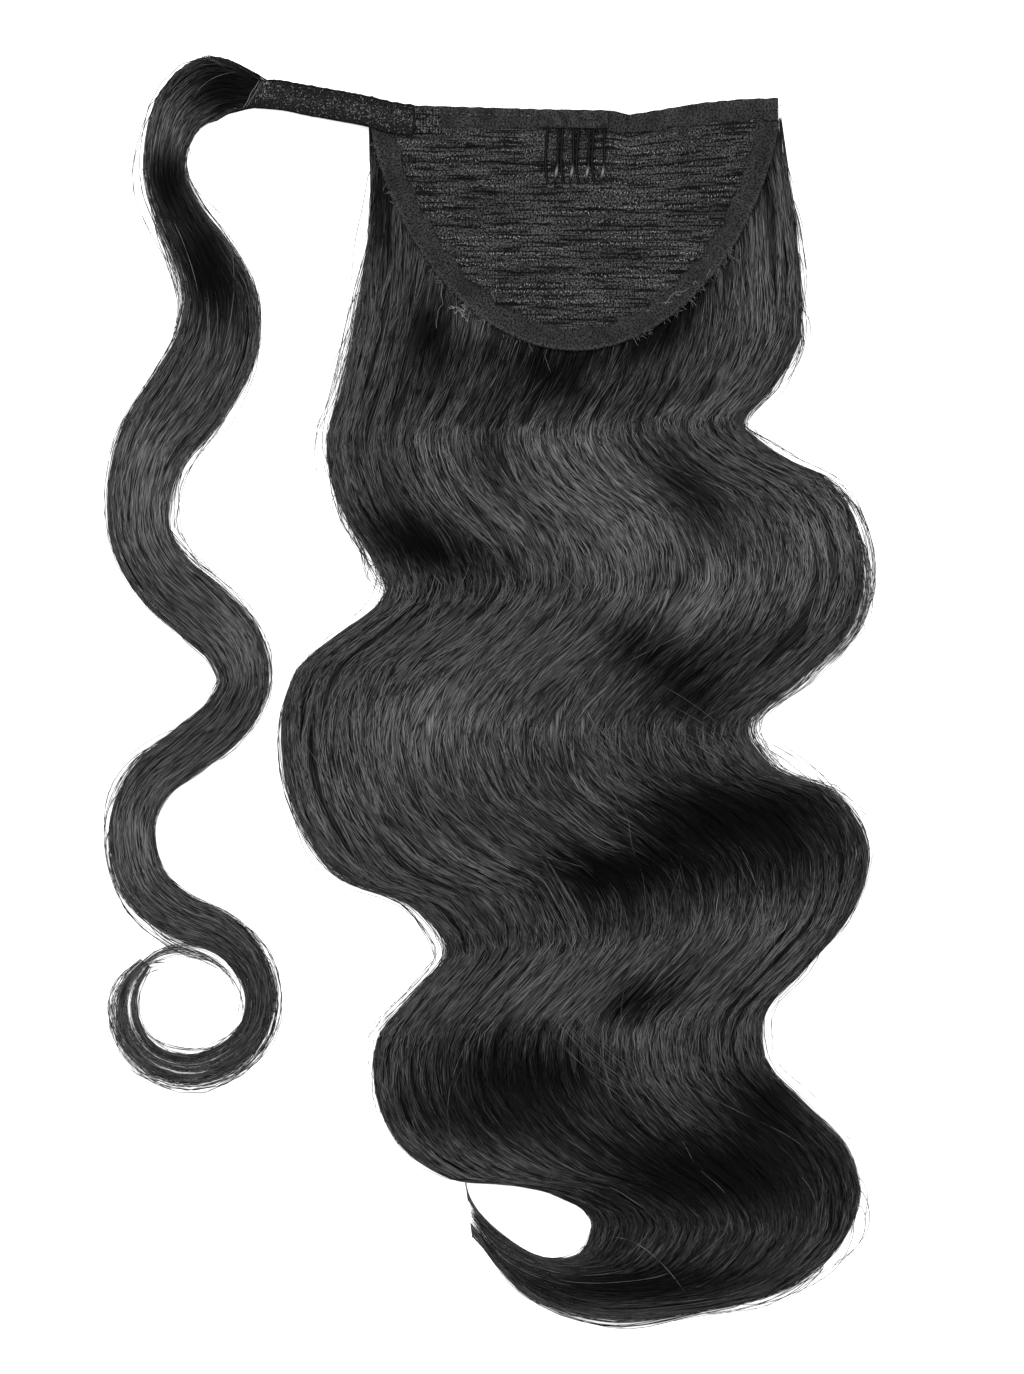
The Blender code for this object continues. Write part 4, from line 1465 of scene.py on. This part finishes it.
def makePatch():
    # the ribbed knit patch beside the strap's end
    rng = np.random.default_rng(hems["seed"] + 3)
    length, width = patch["length"], patch["width"]
    x, y = np.meshgrid(np.linspace(-0.5, 0.5, 70) * length, np.linspace(0.5, -0.5, 36) * width)
    ribs = np.cos(2 * np.pi * x / patch["ribPitch"])
    edge = np.minimum(0.5 * length - np.abs(x), 0.5 * width - np.abs(y))
    thick = patch["thickness"] - 0.4 * np.exp(-edge / 0.3) + 0.12 * ribs
    floor = base["hemTop"] + base["gap"]
    x, y = x + patch["centre"][0], y + patch["centre"][1]
    points, faces, rim = slab(onBase(stacked(x, y, floor + thick)), onBase(stacked(x, y, floor)))
    # lighter on the ribs' crests as painted highlight, with painted shade in their valleys
    tone = 0.5 + 0.25 * ribs + 0.3 * mottle(rng, x, y, 2.5)
    tones, place = stacked(tone, 0.3 - 0.3 * ribs, 0).clip(0, 1), stacked(x * mm, y * mm, 0)
    links = {"replaced": ["strap_anchor"], "slot": "knit", "rim": rim, "outward": True}
    return newPiece("strapPatch", points, faces, knitCloth, tones, place, **links)


strap = {
    "loopLight": 0.9,
    "loopContrast": 4.5,
    "seed": 51,
    "thickness": 1.5,
    "stations": 150,
    "columns": 26,
    "loops": 2000,
    "loopRadius": 0.09,
    "loopSize": (0.3, 0.75),
    "border": 0.17,
}

strapRows = (
    # far edge x and y, near edge x and y, height of the underside
    (-107.8, 9.2, -113.0, 0.0, 3.9),
    (-102.0, 9.4, -102.0, -0.8, 4.4),
    (-92.0, 7.6, -92.0, -2.8, 6.2),
    (-81.0, 5.5, -81.0, -5.0, 8.6),
    (-70.7, 3.5, -70.7, -7.1, 10.1),
    (-62.0, 1.4, -62.0, -9.6, 10.4),
    (-54.6, 0.2, -55.0, -10.4, 10.4),
)


def strapAt(run, across):
    # points on the strap's underside, by share along it and share across it
    rows = smoothAt(strapRows, np.asarray(run) * (len(strapRows) - 1))
    far, near, height = rows[..., 0:2], rows[..., 2:4], rows[..., 4]
    spot = far + (near - far) * np.asarray(across)[..., None]
    return np.concatenate([spot, height[..., None]], axis=-1)


def makeStrap():
    rng = np.random.default_rng(strap["seed"])
    across, run = np.meshgrid(np.linspace(0, 1, strap["columns"]), np.linspace(0, 1, strap["stations"]))
    under = strapAt(run, across)
    top = under.copy()
    edge = np.minimum(across, 1 - across)
    border = np.clip(edge / strap["border"], 0, 1)
    pile = 0.14 * mottle(rng, top[..., 0], top[..., 1], 1.6) * border
    top[..., 2] += strap["thickness"] * (0.72 + 0.28 * np.sqrt(border)) + pile
    fray = 0.12 * mottle(rng, top[..., 0], 0 * top[..., 0], 2.4)
    top[:, 0, 1] += fray[:, 0]
    top[:, -1, 1] -= fray[:, -1]
    points, faces, rim = slab(top, under)
    tone = np.clip(0.3 + 0.25 * mottle(rng, top[..., 0], top[..., 1], 1.1), 0, 1)
    tones = stacked(tone, 0.25 + 0.35 * (1 - border), 0)
    place = stacked(top[..., 0] * mm, top[..., 1] * mm, 0)
    links = {"replaced": ["strap"], "slot": "loop_tape", "rim": rim, "outward": True}
    return newPiece("strapTape", points, faces, loopCloth, tones, place, **links)


def makeStrapPile():
    # the fuzzy loops of the tape
    rng = np.random.default_rng(strap["seed"] + 1)
    count = strap["loops"]
    run = rng.uniform(0.03, 0.99, (count, 1))
    across = np.clip(0.5 + rng.normal(0, 0.2, (count, 1)), 0.1, 0.93)
    foot = strapAt(run, across)[:, 0]
    turn = rng.uniform(0, 2 * np.pi, (count, 1))
    size = rng.uniform(*strap["loopSize"], (count, 1))
    t = np.linspace(0, 1, 4)[None]
    x = foot[:, :1] + np.cos(turn) * size * (t - 0.5)
    y = foot[:, 1:2] + np.sin(turn) * size * (t - 0.5)
    z = foot[:, 2:] + strap["thickness"] - 0.1 + 0.35 * np.sin(np.pi * t)
    tones = stacked(strap["loopLight"] * rng.uniform(0, 1, (count, 1)) ** strap["loopContrast"], 0, 0)
    return addFibres("strapPile", stacked(x, y, z), strap["loopRadius"], yarn, tones, slot="loop_tape")


def curled(rng, start, end, curl, points=16):
    # a thread between two points that strays from the straight line
    t = np.linspace(0, 1, points)[:, None]
    start, end = np.array(start, dtype=float), np.array(end, dtype=float)
    path = start + (end - start) * t
    for pace in (1, 2, 3):
        phase = rng.uniform(0, 2 * np.pi, 3)
        swing = np.sin(2 * np.pi * pace * t + phase) * curl / pace
        path = path + swing * np.array([1, 1, 0.4]) * np.sin(np.pi * t) ** 0.5
    return path


threads = (
    # start x, y, height; end x, y, height; curl; thickness; lightness
    (-107.4, 9.0, 6.0, -112.8, -0.2, 5.6, 0.15, 0.1, 0.45),
    (-106.6, 8.6, 6.2, -111.8, -0.2, 5.9, 0.2, 0.08, 0.3),
    (-106.0, 8.8, 6.4, -111.0, 0.8, 6.2, 0.3, 0.08, 0.25),
    (-105.6, 7.2, 6.6, -104.6, 8.6, 6.6, 0.4, 0.12, 0.6),
    (68.5, -1.0, 10.0, 71.8, 2.2, 9.5, 0.6, 0.07, 0.9),
    (69.0, 0.5, 9.6, 72.2, -3.4, 8.8, 1.2, 0.06, 0.8),
    (68.6, -3.0, 10.0, 72.4, -0.6, 9.0, 0.8, 0.06, 0.9),
    (-45.2, -63.0, 15.0, -46.9, -76.0, 18.5, 0.6, 0.05, 0.6),
    (-41.0, -70.0, 15.4, -37.0, -73.0, 16.0, 1.2, 0.09, 0.7),
    (-40.0, -68.5, 15.4, -36.5, -71.0, 16.0, 1.6, 0.08, 0.6),
    (-42.0, -68.0, 15.2, -38.0, -71.5, 16.2, 1.4, 0.08, 0.8),
    (24.0, -69.5, 15.6, 33.0, -66.5, 15.6, 1.1, 0.07, 0.6),
    (29.0, -67.5, 15.4, 38.5, -62.0, 15.2, 1.3, 0.07, 0.6),
    (34.0, -64.5, 15.0, 41.5, -60.5, 14.9, 1.5, 0.08, 0.7),
    (40.0, -61.5, 14.8, 46.0, -56.0, 14.4, 1.2, 0.07, 0.6),
)


def makeThreads():
    rng = np.random.default_rng(61)
    rows = np.array(threads)
    paths = np.array([curled(rng, row[0:3], row[3:6], row[6]) for row in rows])
    tones = stacked(rows[:, 8:], 0, 0)
    return addFibres("looseThreads", paths, rows[:, 7:8], yarn, tones, slot="hem")


def makeHemFuzz():
    # short fibres on the outer edge of the hems
    rng = np.random.default_rng(62)
    outline, inward = baseOutline(hems["stations"])
    count = 300
    index = rng.integers(4, len(outline) - 4, count)
    index = np.sort(index)[mottle(rng, np.sort(index) * 0.5, np.zeros(count), 30.0) > 0.2]
    count = len(index)
    spot = outline[index] + rng.normal(0, 0.2, (count, 2))
    away = -inward[index] + rng.normal(0, 0.9, (count, 2))
    length = rng.uniform(0.3, 1.3, (count, 1))
    t = np.linspace(0, 1, 5)[None, :, None]
    plan = spot[:, None] + away[:, None] * length[:, None] * t
    plan = plan + rng.normal(0, 0.35, (count, 1, 2)) * t**2
    z = 2.4 + rng.uniform(-0.6, 0.5, (count, 1, 1)) + 0 * t
    grid = np.concatenate([plan, z], axis=-1)
    tone = rng.uniform(0.2, 0.8, (count, 1, 1)) * np.array([1.0, 0, 0])
    return addFibres("hemFuzz", onBase(grid), 0.04, yarn, tone, slot="hem")


def makeHemStitches():
    # small stitches along the top hem, in one row at the left and two at the right
    rng = np.random.default_rng(63)
    rows = []
    for left, right, depth, step, light in hems["stitchRows"]:
        for x in np.arange(left, right, step):
            rows.append((x + rng.normal(0, 0.15), -depth + rng.normal(0, 0.12), light))
    spots = np.array(rows)
    t = np.linspace(0, 1, 5)[None]
    x = spots[:, :1] + 1.0 * (t - 0.5)
    y = spots[:, 1:2] + 0 * t
    z = base["hemTop"] + 0.32 * np.sin(np.pi * t)
    tones = stacked(spots[:, 2:] * rng.uniform(0.3, 1.0, (len(spots), 1)), 0, 0)
    return addFibres("hemStitches", onBase(stacked(x, y, z)), 0.16, yarn, tones, slot="hem")


print("camera and light")
addCamera()
addLight()
addFloor()

bodyHair = hairFinish("bodyHair", hairLook["bodyStreak"])
strandHair = hairFinish("strandHair", hairLook["strandStreak"])
knitCloth = clothFinish("knitCloth", **knitLook)
hemCloth = clothFinish("hemCloth", **hemLook)
loopCloth = clothFinish("loopCloth", **loopLook)
lacquer = tonedFinish("lacquer", **lacquerLook)
yarn = tonedFinish("yarn", **yarnLook)

print("fall of hair")
rows = np.array(fallRows)
fallFlow = Flow(rows[:, [0, 1, 4]], rows[:, [2, 3, 5]], fallHair, hollows, fallPaintedLight)
makeBody("fallBody", fallFlow, ["hair_fall"])


def fallStarts(rng, share):
    under = baseCover(share) - fallHair["underBase"]
    under = under - rng.uniform(0, fallHair["underScatter"], share.shape)
    return np.maximum(under, rng.uniform(0, fallHair["rootScatter"], share.shape))


makeStrands("fallStrands", fallFlow, fallStarts, ["hair_fall"], 4)
for row in fallWisps:
    makeWisps(fallFlow, *row)
makeStrays("fallStrays", fallFlow, fallHair["strays"])
makeLooseHairs("fallTips", fallFlow, fallLoose)

print("wrap lock")
line = smoothAt(wrapRows, np.linspace(0, len(wrapRows) - 1, 4 * len(wrapRows)))
forward = np.gradient(line[:, :2], axis=0)
forward /= np.linalg.norm(forward, axis=1, keepdims=True)
sideways = np.stack([-forward[:, 1], forward[:, 0]], axis=1) * line[:, 2:3] / 2
wrapLeft = np.concatenate([line[:, :2] - sideways, line[:, 3:]], axis=1)
wrapRight = np.concatenate([line[:, :2] + sideways, line[:, 3:]], axis=1)
wrapFlow = Flow(wrapLeft, wrapRight, wrapHair, (), wrapPaintedLight)
makeBody("wrapBody", wrapFlow, ["wrap_lock"])


def wrapStarts(rng, share):
    return rng.uniform(0, wrapHair["rootScatter"], share.shape)


makeStrands("wrapStrands", wrapFlow, wrapStarts, ["wrap_lock"])
makeLooseHairs("wrapTips", wrapFlow, wrapLoose)
for row in wrapWisps:
    makeWisps(wrapFlow, *row)

print("base")
knitPanel = makePanel()
makePanelStitches()
bindings = [makeEdgeHem(), makeTopHem()]
# the knit was cut flat to this size and lies on the hair, held by its two bindings
makeCombTape()
makeComb()
makePatch()
makeStrap()
makeStrapPile()
makeThreads()
makeHemFuzz()
makeHemStitches()
